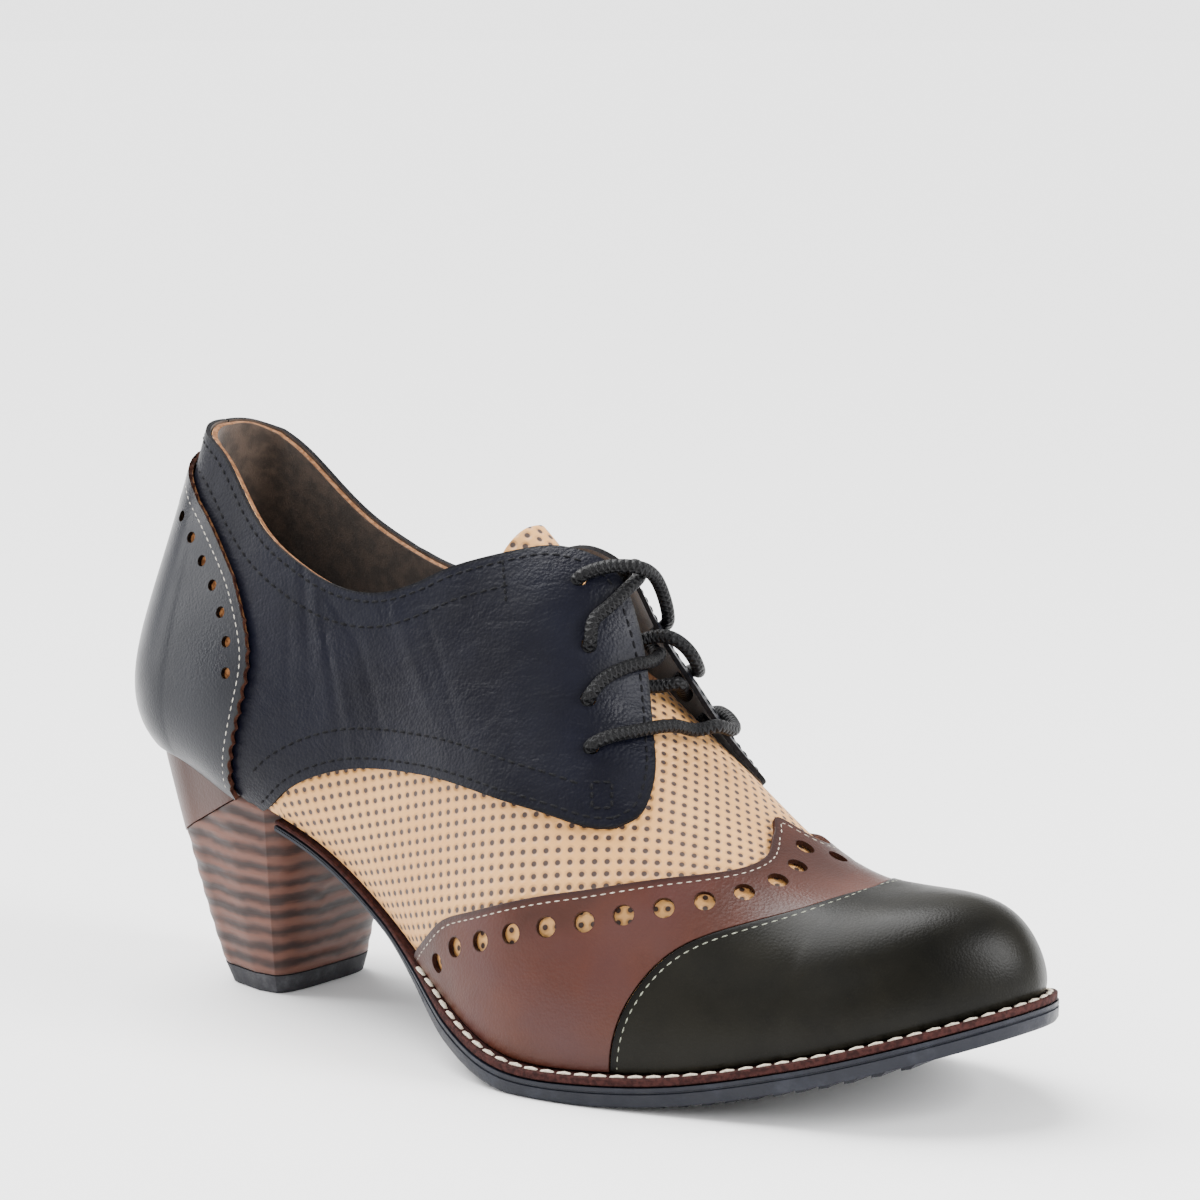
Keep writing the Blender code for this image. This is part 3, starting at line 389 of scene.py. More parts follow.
def plan(u, side, outset):
    """The feather line moved outwards in plan, as x and y."""
    step = 1e-3
    x, y, _ = feather(u, side)
    near, far = feather(np.maximum(u - step, 0), side), feather(np.minimum(u + step, 1), side)
    run = np.stack([far[0] - near[0], far[1] - near[1]], -1)
    run /= np.linalg.norm(run, axis=-1, keepdims=True)
    normal = side * np.stack([-run[..., 1], run[..., 0]], -1)
    ends = (u < 1e-6) | (u > 1 - 1e-6)
    normal = np.where(ends[..., None], np.stack([np.where(u < 0.5, -1.0, 1.0), 0 * u], -1), normal)
    return np.stack([x + outset * normal[..., 0], y + SWING(x) + outset * normal[..., 1]], -1)


def forepart_share(x):
    share = np.clip((x - WAIST_END) / (FOREPART_START - WAIST_END), 0, 1)
    return share * share * (3 - 2 * share)


def welt_top(x):
    return feather_height(x) - GAP


def welt_bottom(x):
    return welt_top(x) - WAIST_WELT - (WELT_THICKNESS - WAIST_WELT) * forepart_share(x)


def outsole_top(x):
    return welt_bottom(x) - GAP


def outsole_bottom(x):
    """The tread face, cut flat on the floor under the ball."""
    thickness = WAIST_OUTSOLE + (OUTSOLE_THICKNESS - WAIST_OUTSOLE) * forepart_share(x)
    return max(float(outsole_top(x) - thickness), 0.0)


def ledge(u):
    return np.interp(u, [l[0] for l in LEDGE], [l[1] * MM for l in LEDGE])


def on_form(places, side, stand_off):
    """Points and outward directions at (u, v) places."""
    u, v = places[:, 0], places[:, 1]
    return off_last(u, v, side, np.broadcast_to(stand_off, u.shape)), last_normal(u, v, side)


def shifted(places, side, distance):
    """The same line moved sideways across the leather."""
    u, v = places[:, 0], places[:, 1]
    step = 1e-3
    origin = last(u, v, side)
    low_u, high_u = np.maximum(u - step, 0), np.minimum(u + step, 1)
    low_v, high_v = np.maximum(v - step, 0), np.minimum(v + step, 1)
    along_u = (last(high_u, v, side) - last(low_u, v, side)) / (high_u - low_u)[:, None]
    along_v = (last(u, high_v, side) - last(u, low_v, side)) / (high_v - low_v)[:, None]
    tangent = np.gradient(origin, axis=0)
    tangent /= np.linalg.norm(tangent, axis=1, keepdims=True) + 1e-12
    across = np.cross(last_normal(u, v, side), tangent) * np.reshape(distance, (-1, 1))
    gains = [np.linalg.lstsq(np.stack([a, b], 1), c, rcond=1e-6)[0] for a, b, c in zip(along_u, along_v, across)]
    return np.clip(places + np.array(gains), 0, 1)


def every(spacing, points, *others):
    """Points evenly along a line at about that spacing, with what goes with them."""
    run = lengths(points)
    at = np.linspace(0, run[-1], max(2, int(round(run[-1] / spacing)) + 1))
    lines = (points, *others)
    return [np.stack([np.interp(at, run, line[:, k]) for k in range(line.shape[1])], 1) for line in lines]


class Finish:
    """A node material, built one node at a time."""

    def __init__(self, name, roughness, **sockets):
        self.material = bpy.data.materials.new(name)
        self.material.use_nodes = True
        self.nodes, self.links = self.material.node_tree.nodes, self.material.node_tree.links
        self.shader = self.nodes["Principled BSDF"]
        self.shader.inputs["Roughness"].default_value = roughness
        for socket, value in sockets.items():
            self.shader.inputs[socket.replace("_", " ")].default_value = value
        self.relief = None

    def add(self, kind, inputs=(), **settings):
        node = self.nodes.new("ShaderNode" + kind)
        for key, value in settings.items():
            setattr(node, key, value)
        for key, value in dict(inputs).items():
            if isinstance(value, bpy.types.NodeSocket):
                self.links.new(value, node.inputs[key])
            else:
                node.inputs[key].default_value = value
        return node

    def place(self, size=None, turn=0.0, cut=False):
        """Object coordinates, or with cut the leather's own coordinates in millimetres."""
        source = self.add("UVMap", uv_map="Cut").outputs[0] if cut else self.add("TexCoord").outputs["Object"]
        if size is None and not turn:
            return source
        scale = (1, 1, 1) if size is None else size
        return self.add("Mapping", {"Vector": source, "Scale": scale, "Rotation": (0, 0, turn)}).outputs[0]

    def noise(self, scale, detail=3.0, rough=0.5, at=None, distortion=0.0):
        inputs = {"Vector": at or self.place(), "Scale": scale, "Detail": detail, "Roughness": rough}
        return self.add("TexNoise", inputs | {"Distortion": distortion}).outputs["Fac"]

    def cells(self, scale):
        return self.add("TexVoronoi", {"Vector": self.place(), "Scale": scale}).outputs["Distance"]

    def ramp(self, value, low, high, out_low=0.0, out_high=1.0):
        inputs = {"Value": value, "From Min": low, "From Max": high, "To Min": out_low, "To Max": out_high}
        return self.add("MapRange", inputs, clamp=True, interpolation_type="SMOOTHSTEP").outputs["Result"]

    def sum(self, first, second, operation="ADD"):
        return self.add("Math", {0: first, 1: second}, operation=operation).outputs[0]

    def sine(self, value):
        return self.add("Math", {0: value}, operation="SINE").outputs[0]

    def mix(self, factor, first, second):
        node = self.add("Mix", {0: factor}, data_type="RGBA")
        for key, value in ((6, first), (7, second)):
            if isinstance(value, bpy.types.NodeSocket):
                self.links.new(value, node.inputs[key])
            else:
                node.inputs[key].default_value = (*value, 1)
        return node.outputs[2]

    def bump(self, height, depth, strength=1.0, invert=False):
        inputs = {"Height": height, "Distance": depth, "Strength": strength}
        if self.relief:
            inputs["Normal"] = self.relief
        self.relief = self.add("Bump", inputs, invert=invert).outputs["Normal"]

    def attribute(self, name):
        return self.add("Attribute", attribute_name=name, attribute_type="GEOMETRY").outputs["Fac"]

    def done(self, colour, roughness=None):
        if isinstance(colour, tuple):
            self.shader.inputs["Base Color"].default_value = (*colour, 1)
        else:
            self.links.new(colour, self.shader.inputs["Base Color"])
        if roughness is not None:
            self.links.new(roughness, self.shader.inputs["Roughness"])
        if self.relief:
            self.links.new(self.relief, self.shader.inputs["Normal"])
        return self.material


def grained(finish, scale, depth, wrinkle=0.0):
    """The fine pebble of a leather's grain, and its faint pull lines."""
    finish.bump(finish.cells(scale), depth, 0.35, invert=True)
    finish.bump(finish.noise(scale * 2.2, 2), depth * 0.5, 0.3)
    if wrinkle:
        finish.bump(finish.noise(85, 5, 0.62, finish.place((1, 1, 2.2), 0.4), 1.2), wrinkle, 0.35)


def quarter_leather():
    finish = Finish("blue_black_grain", 0.44, Specular_IOR_Level=0.13)
    worn = finish.noise(28, 5, 0.6)
    colour = finish.mix(finish.ramp(worn, 0.35, 0.7), (0.0012, 0.0013, 0.0044), (0.0034, 0.0038, 0.0088))
    colour = finish.mix(finish.ramp(finish.attribute("rim"), 0.0, 0.14), (0.0015, 0.0016, 0.0030), colour)
    grained(finish, 1250, 0.00022, 0.0009)
    return finish.done(colour, finish.ramp(finish.noise(60, 4), 0.3, 0.75, 0.34, 0.50))


def counter_leather():
    finish = Finish("polished_slate", 0.34, Specular_IOR_Level=0.24)
    dark, light = (0.0030, 0.0035, 0.0060), (0.0090, 0.0098, 0.0140)
    colour = finish.mix(finish.ramp(finish.noise(18, 4), 0.3, 0.7), dark, light)
    colour = finish.mix(finish.ramp(finish.attribute("rim"), 0.0, 0.12), (0.003, 0.0025, 0.002), colour)
    grained(finish, 1500, 0.00010)
    return finish.done(colour, finish.ramp(finish.noise(45, 4), 0.3, 0.75, 0.26, 0.40))


def wing_leather():
    finish = Finish("burnished_brown", 0.36, Specular_IOR_Level=0.24)
    dark, light = (0.028, 0.0066, 0.0034), (0.064, 0.0170, 0.0088)
    hue = finish.mix(finish.ramp(finish.noise(20, 5, 0.6), 0.32, 0.68), dark, light)
    purple = finish.mix(finish.ramp(finish.noise(34, 3), 0.45, 0.7), hue, (0.050, 0.0155, 0.0125))
    edge = finish.ramp(finish.attribute("rim"), 0.0, 0.30)
    colour = finish.mix(edge, (0.018, 0.0045, 0.0028), purple)
    grained(finish, 1300, 0.00014)
    return finish.done(colour, finish.ramp(finish.noise(55, 4), 0.3, 0.75, 0.33, 0.47))


def cap_leather():
    finish = Finish("polished_olive_black", 0.33, Specular_IOR_Level=0.10)
    cloud = finish.ramp(finish.noise(22, 5, 0.6), 0.35, 0.72)
    colour = finish.mix(cloud, (0.0018, 0.0017, 0.0011), (0.0080, 0.0072, 0.0048))
    colour = finish.mix(finish.ramp(finish.attribute("rim"), 0.0, 0.20), (0.0015, 0.0014, 0.0011), colour)
    grained(finish, 1600, 0.00008)
    return finish.done(colour, finish.ramp(finish.noise(50, 4), 0.3, 0.75, 0.31, 0.43))


# The pinholes of the cream leather, in millimetres
DOT_PITCH, DOT_RADIUS = 2.85, 0.68


def punched_leather():
    """Cream leather pricked all over with a square grid of pinholes set on its corner."""
    finish = Finish("pricked_cream", 0.58, Sheen_Weight=0.08)
    grid = finish.place((1 / DOT_PITCH, 1 / DOT_PITCH, 1), math.radians(45), cut=True)
    cell = finish.add("VectorMath", {0: grid}, operation="FRACTION").outputs[0]
    centre = finish.add("VectorMath", {0: cell, 1: (0.5, 0.5, 0)}, operation="SUBTRACT").outputs[0]
    flat = finish.add("VectorMath", {0: centre, 1: (1, 1, 0)}, operation="MULTIPLY").outputs[0]
    away = finish.add("VectorMath", {0: flat}, operation="LENGTH").outputs["Value"]
    edge = DOT_RADIUS / DOT_PITCH
    hole = finish.ramp(away, edge * 0.80, edge * 1.15, 1.0, 0.0)
    dimple = finish.ramp(away, edge * 0.6, edge * 1.9, 0.0, 1.0)
    tone = finish.mix(finish.ramp(finish.noise(24, 4), 0.3, 0.7), (0.56, 0.270, 0.075), (0.68, 0.355, 0.115))
    ringed = finish.mix(finish.ramp(away, edge, edge * 2.0, 0.35, 0.0), tone, (0.42, 0.22, 0.11))
    # The pinholes are painted, not cut: a dark brown spot, partly the brown lining seen through the hole and partly
    # painted shade inside the hole
    colour = finish.mix(hole, ringed, (0.030, 0.012, 0.006))
    finish.bump(dimple, 0.0005, 0.8)
    finish.bump(finish.cells(1500), 0.00012, 0.3, invert=True)
    return finish.done(colour)


def suede(name, dark, light, roughness=0.92):
    finish = Finish(name, roughness, Sheen_Weight=0.3, Sheen_Roughness=0.5)
    colour = finish.mix(finish.ramp(finish.noise(260, 4), 0.35, 0.65), dark, light)
    finish.bump(finish.noise(2600, 3), 0.0002, 0.5)
    return finish.done(colour)


def cut_edge(name, dark, light):
    finish = Finish(name, 0.80, Specular_IOR_Level=0.12)
    colour = finish.mix(finish.ramp(finish.noise(900, 3), 0.35, 0.65), dark, light)
    finish.bump(finish.noise(2400, 3), 0.0002, 0.5)
    return finish.done(colour)


def thread(name, dark, light):
    finish = Finish(name, 0.72, Specular_IOR_Level=0.1)
    twist = finish.noise(2600, 2)
    finish.bump(twist, 0.0001, 0.5)
    return finish.done(finish.mix(finish.ramp(twist, 0.3, 0.7), dark, light))


def stacked_leather():
    """Thin layers of board seen from the side, dark and reddish by turns."""
    finish = Finish("stacked_heel", 0.50, Specular_IOR_Level=0.3)
    wobble = finish.noise(42, 3, 0.55, finish.place((1, 1, 0.6)))
    height = finish.add("SeparateXYZ", {0: finish.place()}).outputs["Z"]
    layered = finish.sum(height, finish.sum(wobble, 0.0075, "MULTIPLY"))
    wave = finish.sine(finish.sum(layered, 2 * math.pi / 0.0043, "MULTIPLY"))
    fine = finish.noise(1, 5, 0.65, finish.place((45, 45, 1100)))
    patch_wise = finish.noise(1, 4, 0.6, finish.place((75, 75, 210)))
    ragged = finish.sum(finish.sum(fine, 2.4, "MULTIPLY"), finish.sum(patch_wise, 3.2, "MULTIPLY"))
    stripe = finish.ramp(finish.sum(wave, ragged), 1.6, 4.2)
    colour = finish.mix(stripe, (0.018, 0.0070, 0.0053), (0.115, 0.048, 0.033))
    finish.bump(wave, 0.00018, 0.8)
    finish.bump(fine, 0.00015, 0.5)
    return finish.done(colour, finish.ramp(fine, 0.3, 0.7, 0.42, 0.60))


def wrap_leather():
    finish = Finish("heel_wrap_brown", 0.40, Specular_IOR_Level=0.3)
    height = finish.add("SeparateXYZ", {0: finish.place()}).outputs["Z"]
    hue = finish.mix(finish.ramp(finish.noise(24, 4), 0.3, 0.7), (0.044, 0.0145, 0.0085), (0.088, 0.032, 0.020))
    # Painted shade: the cover darkens towards its top, where the heel flares out under the seat
    colour = finish.mix(finish.ramp(height, 0.030, 0.052, 1.0, 0.35), (0.018, 0.006, 0.004), hue)
    grained(finish, 1400, 0.00012)
    return finish.done(colour)


def rubber(name, dark, light, roughness, scuff):
    finish = Finish(name, roughness, Specular_IOR_Level=0.25)
    worn = finish.ramp(finish.noise(120, 5, 0.65), 0.5, 0.75)
    colour = finish.mix(worn, dark, light)
    finish.bump(finish.noise(900, 4, 0.6), 0.0002, scuff)
    finish.bump(finish.noise(1, 3, 0.5, finish.place((60, 60, 1600))), 0.00012, scuff)
    return finish.done(colour, finish.ramp(finish.noise(200, 4), 0.3, 0.75, roughness - 0.06, roughness + 0.14))


# The lace's braid: its pitch in millimetres, and its strands each way round
BRAID_PITCH, BRAID_STRANDS = 1.4, 4


def lace_braid():
    """A waxed round braid: two families of strands that cross on its own coordinates."""
    finish = Finish("waxed_braid", 0.50, Specular_IOR_Level=0.17)
    split = finish.add("SeparateXYZ", {0: finish.add("UVMap", uv_map="UVMap").outputs[0]})
    along = finish.sum(split.outputs["X"], 2 * math.pi / BRAID_PITCH, "MULTIPLY")
    strands = []
    for strands_round in (BRAID_STRANDS, -BRAID_STRANDS):
        turned = finish.sum(split.outputs["Y"], strands_round * 2 * math.pi, "MULTIPLY")
        strands.append(finish.sine(finish.sum(along, turned)))
    weave = finish.sum(*strands, "MAXIMUM")
    finish.bump(weave, 0.00022, 0.8)
    fleck = finish.ramp(finish.noise(1500, 3), 0.55, 0.72)
    # Painted glint: the crests of the strands are painted lighter, in random flecks, as if catching the light
    high = finish.sum(finish.ramp(weave, 0.4, 1.0), fleck, "MULTIPLY")
    colour = finish.mix(high, (0.0014, 0.0014, 0.0020), (0.011, 0.011, 0.014))
    return finish.done(colour)


# The corners of a cell in a sheet, in order
CORNERS = ((0, 0), (1, 0), (1, 1), (0, 1))
# Points nearer than this are one, and wear reaches this far in from an edge
WELD = 0.004 * MM
WEAR_REACH = 12 * MM


def made(mesh, name):
    """The finished mesh data of a mesh that was being built."""
    data = bpy.data.meshes.new(name)
    mesh.to_mesh(data)
    mesh.free()
    return data


def finish_object(name, mesh, looks, stands_for=(), angle=35):
    """Put a finished mesh in the scene, on the shoe, in place of its solids."""
    for look in looks:
        mesh.materials.append(look)
    piece = bpy.data.objects.new(name, mesh)
    bpy.context.scene.collection.objects.link(piece)
    mesh.shade_smooth()
    mesh.set_sharp_from_angle(angle=math.radians(angle))
    if stands_for:
        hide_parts(*stands_for)
    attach(piece, "root")
    return piece


def cut_coordinates(u, v, side):
    """Millimetres along the foot and down from the ridge, so that a pattern keeps its size on the leather."""
    along = RUN_ALONG(u)
    drop = np.empty(u.shape)
    stations = np.linspace(0, 1, 41)
    for i in range(u.shape[0]):
        middle = float(np.median(u[i]))
        run = lengths(last(np.full(41, middle), stations, side))
        drop[i] = np.interp(v[i], stations, run[-1] - run)
    return np.stack([along, side * drop], -1) / MM


def round_edges(piece, roll, sharp):
    """Roll a piece's edges over, where two faces meet at more than that many degrees."""
    edge = piece.modifiers.new("edge", "BEVEL")
    edge.width, edge.segments, edge.limit_method, edge.angle_limit = roll, 3, "ANGLE", math.radians(sharp)
    edge.use_clamp_overlap = True
    settle(piece)


def shell(name, sheets, thickness, looks, stands_for=(), open_sides="abcd", roll=0.25 * MM, creases=None):
    """A wall of leather with a rounded edge: its outer face, its lining side and its edge.

    open_sides names the sides of each sheet that are real edges, for the wear along them:
    a first row, b last row, c first column, d last column.
    """
    index, outer, inner, rim_worn, faces, maps = {}, [], [], [], [], []
    for u, v, stand_off, side in sheets:
        shape = np.broadcast_shapes(np.shape(u), np.shape(v), np.shape(stand_off))
        u, v, stand_off = (np.broadcast_to(np.asarray(a, float), shape) for a in (u, v, stand_off))
        relief = creases(u, v, side) if creases else 0.0
        face, back = off_last(u, v, side, stand_off + relief), off_last(u, v, side, stand_off + relief - thickness)
        cut = cut_coordinates(u, v, side)
        worn = edge_distance(face, open_sides)
        places = np.empty(shape, int)
        keys = np.round(face / WELD + 0.137).astype(int)
        for place in np.ndindex(shape):
            key = tuple(keys[place])
            if key not in index:
                index[key] = len(outer)
                outer.append(face[place])
                inner.append(back[place])
                rim_worn.append(worn[place])
            places[place] = index[key]
        for i, j in np.ndindex(shape[0] - 1, shape[1] - 1):
            at = [(i + a, j + b) for a, b in CORNERS]
            if side == MEDIAL:
                at = at[::-1]
            corners, spots = [], []
            for p in at:
                if places[p] not in corners:
                    corners.append(int(places[p]))
                    spots.append(cut[p])
            if len(corners) > 2:
                faces.append(corners)
                maps.append(spots)
    count = len(outer)
    points = np.concatenate([outer, inner]) - np.array(MIDDLE)
    edges = {}
    for face, spots in zip(faces, maps):
        for k in range(len(face)):
            edges[(face[k], face[(k + 1) % len(face)])] = (spots[k], spots[(k + 1) % len(face)])
    rim, rim_maps = [], []
    for (a, b), (at_a, at_b) in edges.items():
        if (b, a) not in edges:
            rim.append([b, a, a + count, b + count])
            rim_maps.append([at_b, at_a, at_a, at_b])
    back_faces = [[c + count for c in reversed(face)] for face in faces]
    mesh = bpy.data.meshes.new(name)
    mesh.from_pydata([tuple(p) for p in points], [], faces + back_faces + rim)
    layer = mesh.uv_layers.new(name="Cut")
    spots = [s for face in maps for s in face] + [s for face in maps for s in reversed(face)]
    spots += [s for face in rim_maps for s in face]
    layer.data.foreach_set("uv", np.array(spots, np.float32).ravel())
    wear = mesh.attributes.new("rim", "FLOAT", "POINT")
    wear.data.foreach_set("value", np.array(rim_worn + [0.0] * count, np.float32))
    kinds = [0] * len(faces) + [1] * len(faces) + [2] * len(rim)
    mesh.polygons.foreach_set("material_index", kinds)
    piece = finish_object(name, mesh, looks, stands_for, 40)
    if roll:
        round_edges(piece, roll, 50)
    return piece


def lay_flat(piece, low, high, near, far):
    """Unroll the outer face between two distances along the shoe with little stretch, in millimetres.

    The pattern's first axis runs along the ridge, from the near place on the last to the far one.
    """
    mesh = piece.data
    corners = np.array([v.co for v in mesh.vertices]) + np.array(MIDDLE)
    mesh.polygons.foreach_set("select", [
        p.material_index == 0 and low < corners[p.vertices[0]][0] < high for p in mesh.polygons
    ])
    bpy.ops.object.select_all(action="DESELECT")
    bpy.context.view_layer.objects.active = piece
    piece.select_set(True)
    bpy.context.tool_settings.mesh_select_mode = (False, False, True)
    bpy.ops.object.mode_set(mode="EDIT")
    bpy.ops.uv.unwrap(method="ANGLE_BASED", margin=0)
    bpy.ops.object.mode_set(mode="OBJECT")
    layer = mesh.uv_layers["Cut"].data
    spots, real, drawn = {}, 0.0, 0.0
    for face in mesh.polygons:
        if face.select:
            a, b = face.loop_indices[:2]
            real += math.dist(corners[mesh.loops[a].vertex_index], corners[mesh.loops[b].vertex_index])
            drawn += (layer[a].uv - layer[b].uv).length
            spots[mesh.loops[a].vertex_index] = layer[a].uv.copy()
    known = np.array(list(spots))
    start, end = (
        spots[int(known[np.linalg.norm(corners[known] - last(u, 1.0, LATERAL), axis=1).argmin()])]
        for u in (near, far)
    )
    turn = Matrix.Rotation(-math.atan2(*(end - start).yx), 2)
    for face in mesh.polygons:
        if face.select:
            for corner in face.loop_indices:
                layer[corner].uv = turn @ (layer[corner].uv - start) * (real / drawn / MM)
    piece.select_set(False)


def edge_distance(face, open_sides):
    """How far each point is from the real edges, as a share of the reach of the wear."""
    reach = np.full(face.shape[:2], 1.0)
    across = np.linalg.norm(np.diff(face, axis=0), axis=-1)
    along = np.linalg.norm(np.diff(face, axis=1), axis=-1)
    from_a = np.concatenate([np.zeros((1, face.shape[1])), np.cumsum(across, 0)])
    from_c = np.concatenate([np.zeros((face.shape[0], 1)), np.cumsum(along, 1)], 1)
    distances = {"a": from_a, "b": from_a[-1:] - from_a, "c": from_c, "d": from_c[:, -1:] - from_c}
    for letter in open_sides:
        reach = np.minimum(reach, distances[letter] / WEAR_REACH)
    return reach


def settle(piece):
    """Apply a piece's modifiers, and keep its edges crisp."""
    bpy.ops.object.select_all(action="DESELECT")
    bpy.context.view_layer.objects.active = piece
    piece.select_set(True)
    for modifier in list(piece.modifiers):
        bpy.ops.object.modifier_apply(modifier=modifier.name)
    piece.data.set_sharp_from_angle(angle=math.radians(18))
    piece.select_set(False)


def tube_mesh(name, points, radius, rings):
    """A round cord along a line, with its length and turn as UV in millimetres and turns."""
    points = np.asarray(points)
    tangent = np.gradient(points, axis=0)
    tangent /= np.linalg.norm(tangent, axis=1, keepdims=True) + 1e-12
    normal = np.cross(tangent[0], (0.2, 0.1, 1.0))
    mesh = bmesh.new()
    uv = mesh.loops.layers.uv.new("UVMap")
    run = lengths(points)
    rows = []
    for point, direction in zip(points, tangent):
        normal = normal - direction * (normal @ direction)
        normal /= np.linalg.norm(normal) + 1e-12
        other = np.cross(direction, normal)
        rows.append([
            mesh.verts.new(point + radius * (math.cos(a) * normal + math.sin(a) * other))
            for a in np.linspace(0, 2 * math.pi, rings, endpoint=False)
        ])
    for i in range(len(rows) - 1):
        for k in range(rings):
            near, far = k, (k + 1) % rings
            face = mesh.faces.new((rows[i][near], rows[i][far], rows[i + 1][far], rows[i + 1][near]))
            turns = (k / rings, (k + 1) / rings, (k + 1) / rings, k / rings)
            for loop, turn, along in zip(face.loops, turns, (run[i], run[i], run[i + 1], run[i + 1])):
                loop[uv].uv = (along / MM, turn)
    mesh.faces.new(rows[0][::-1])
    mesh.faces.new(rows[-1])
    return made(mesh, name)


# A stitch: its sides, and its width at shares of its length
STITCH_SIDES = 7
STITCH_PROFILE = ((0.0, 0.15), (0.12, 0.75), (0.5, 1.0), (0.88, 0.75), (1.0, 0.15))


def stitches(name, line, normals, look, spacing, share=0.8, radius=0.2 * MM, sink=0.05 * MM, tilt=0.0, flat=0.75):
    """A row of stitches along a line: short rounded thread lengths whose ends dip into the leather."""
    line, normals = every(spacing, line, normals)
    mesh = bmesh.new()
    for start, end, up in zip(line, line[1:], (normals[1:] + normals[:-1]) / 2):
        along = end - start
        size = np.linalg.norm(along)
        along /= size + 1e-12
        up = up - along * (up @ along)
        up /= np.linalg.norm(up) + 1e-12
        side_way = np.cross(up, along)
        along_tilted = along * math.cos(tilt) + side_way * math.sin(tilt)
        side_way = np.cross(up, along_tilted)
        middle = (start + end) / 2 - up * sink
        rings = []
        for place, width in STITCH_PROFILE:
            centre = middle + along_tilted * (place - 0.5) * size * share - up * radius * (1 - width) * 0.9
            rings.append([
                mesh.verts.new(centre + radius * width * (math.cos(a) * side_way + flat * math.sin(a) * up))
                for a in np.linspace(0, 2 * math.pi, STITCH_SIDES, endpoint=False)
            ])
        for near, far in zip(rings, rings[1:]):
            for k in range(STITCH_SIDES):
                after = (k + 1) % STITCH_SIDES
                mesh.faces.new((near[k], far[k], far[after], near[after]))
        mesh.faces.new(rings[0])
        mesh.faces.new(rings[-1][::-1])
    bmesh.ops.recalc_face_normals(mesh, faces=mesh.faces)
    bmesh.ops.translate(mesh, verts=mesh.verts, vec=-MIDDLE)
    finish_object(name, made(mesh, name), [look], angle=60)


def punch(piece, points, normals, radius, name):
    """Holes punched square through the leather."""
    cutter = bmesh.new()
    for point, normal in zip(points, normals):
        turn = Vector(normal).to_track_quat("Z", "Y").to_matrix().to_4x4()
        place = Matrix.Translation(Vector(point) - MIDDLE) @ turn
        bmesh.ops.create_cone(
            cutter, cap_ends=True, segments=20, radius1=radius, radius2=radius * 1.12, depth=5 * MM, matrix=place
        )
    mesh = made(cutter, name)
    mesh.materials.append(RUST_EDGE)
    tool = bpy.data.objects.new(name, mesh)
    bpy.context.scene.collection.objects.link(tool)
    hole = piece.modifiers.new(name, "BOOLEAN")
    hole.operation, hole.object, hole.solver = "DIFFERENCE", tool, "MANIFOLD"
    settle(piece)
    bpy.data.objects.remove(tool)


RUN_STATIONS = np.linspace(0, 1, 161)
RUN_ALONG = spline(RUN_STATIONS, lengths(last(RUN_STATIONS, np.full(161, 0.42), LATERAL)))

QUARTER_LOOK, COUNTER_LOOK = quarter_leather(), counter_leather()
WING_LOOK, CAP_LOOK, CREAM_LOOK = wing_leather(), cap_leather(), punched_leather()
LINING_LOOK = suede("brown_suede_lining", (0.030, 0.018, 0.011), (0.065, 0.040, 0.026))
SOCK_LOOK = suede("sock_leather", (0.060, 0.034, 0.020), (0.095, 0.056, 0.034), 0.7)
TAN_EDGE = cut_edge("tan_edge", (0.12, 0.052, 0.022), (0.22, 0.105, 0.048))
RUST_EDGE = cut_edge("rust_edge", (0.130, 0.050, 0.018), (0.330, 0.145, 0.055))
DARK_EDGE = cut_edge("dark_edge", (0.003, 0.003, 0.004), (0.009, 0.008, 0.009))
BROWN_EDGE = cut_edge("brown_edge", (0.022, 0.007, 0.004), (0.055, 0.020, 0.012))
BLACK_THREAD = thread("black_thread", (0.0015, 0.0015, 0.002), (0.008, 0.008, 0.010))
GREY_THREAD = thread("grey_thread", (0.26, 0.22, 0.18), (0.52, 0.46, 0.38))
PALE_THREAD = thread("pale_thread", (0.30, 0.28, 0.24), (0.55, 0.52, 0.46))
GREEN_THREAD = thread("green_thread", (0.13, 0.14, 0.105), (0.32, 0.33, 0.26))
WELT_THREAD = thread("cream_thread", (0.50, 0.42, 0.32), (0.78, 0.70, 0.58))


def build_upper():
    top, throat = throat_edge(), TOPLINE[-1].u
    places = np.concatenate([
        np.linspace(0, HEEL_END, 30)[:-1],
        np.linspace(HEEL_END, THROAT_START, 50)[:-1],
        np.linspace(THROAT_START, throat, 24)[:-1],
        np.linspace(throat, TOE_START, 40)[:-1],
        np.linspace(TOE_START, 1, 34),
    ])
    height = np.where(places < throat - 1e-6, np.minimum(top(places), 1), 1.0)
    sheets = [(places[:, None], height[:, None] * climb(64, 1.25), VAMP_FACE, side) for side in SIDES]
    upper = shell("vamp_and_lining", sheets, LINED_LEATHER, [CREAM_LOOK, LINING_LOOK, TAN_EDGE], ["upper"], "d")
    lay_flat(upper, 62 * MM, 205 * MM, 0.60, 0.70)


def band(name, start_line, end_line, columns, face, thickness, looks, node):
    """A piece that runs over the forepart between two lines, each giving u from v and the side."""
    rise = climb(90, 1.2)
    sheets = []
    for side in SIDES:
        first, final = start_line(rise, side), end_line(rise, side)
        sheets.append((first + (final - first) * np.linspace(0, 1, columns)[:, None], rise, face, side))
    return shell(name, sheets, thickness, looks, [node], "a")


def side_line(marks, side, inset, start=0.0, end=1.0, count=160):
    """A line along an edge's marks, moved in across the leather."""
    places = along_marks(marks, np.linspace(start, end, count))
    return shifted(places, side, inset * -side)


# A row of punched holes: their radius, how far in from the edge, how far apart, and where the row ends on each side
HoleRow = namedtuple("HoleRow", "radius inset pitch start end")
WING_HOLES = HoleRow(2.25 * MM, -7.4 * MM, 8.9 * MM, 0.075, {LATERAL: 0.925, MEDIAL: 0.875})
COUNTER_HOLES = HoleRow(1.35 * MM, 6.6 * MM, 8.0 * MM, 0.16, {LATERAL: 0.93, MEDIAL: 0.93})
LABELS = {LATERAL: "outer", MEDIAL: "inner"}


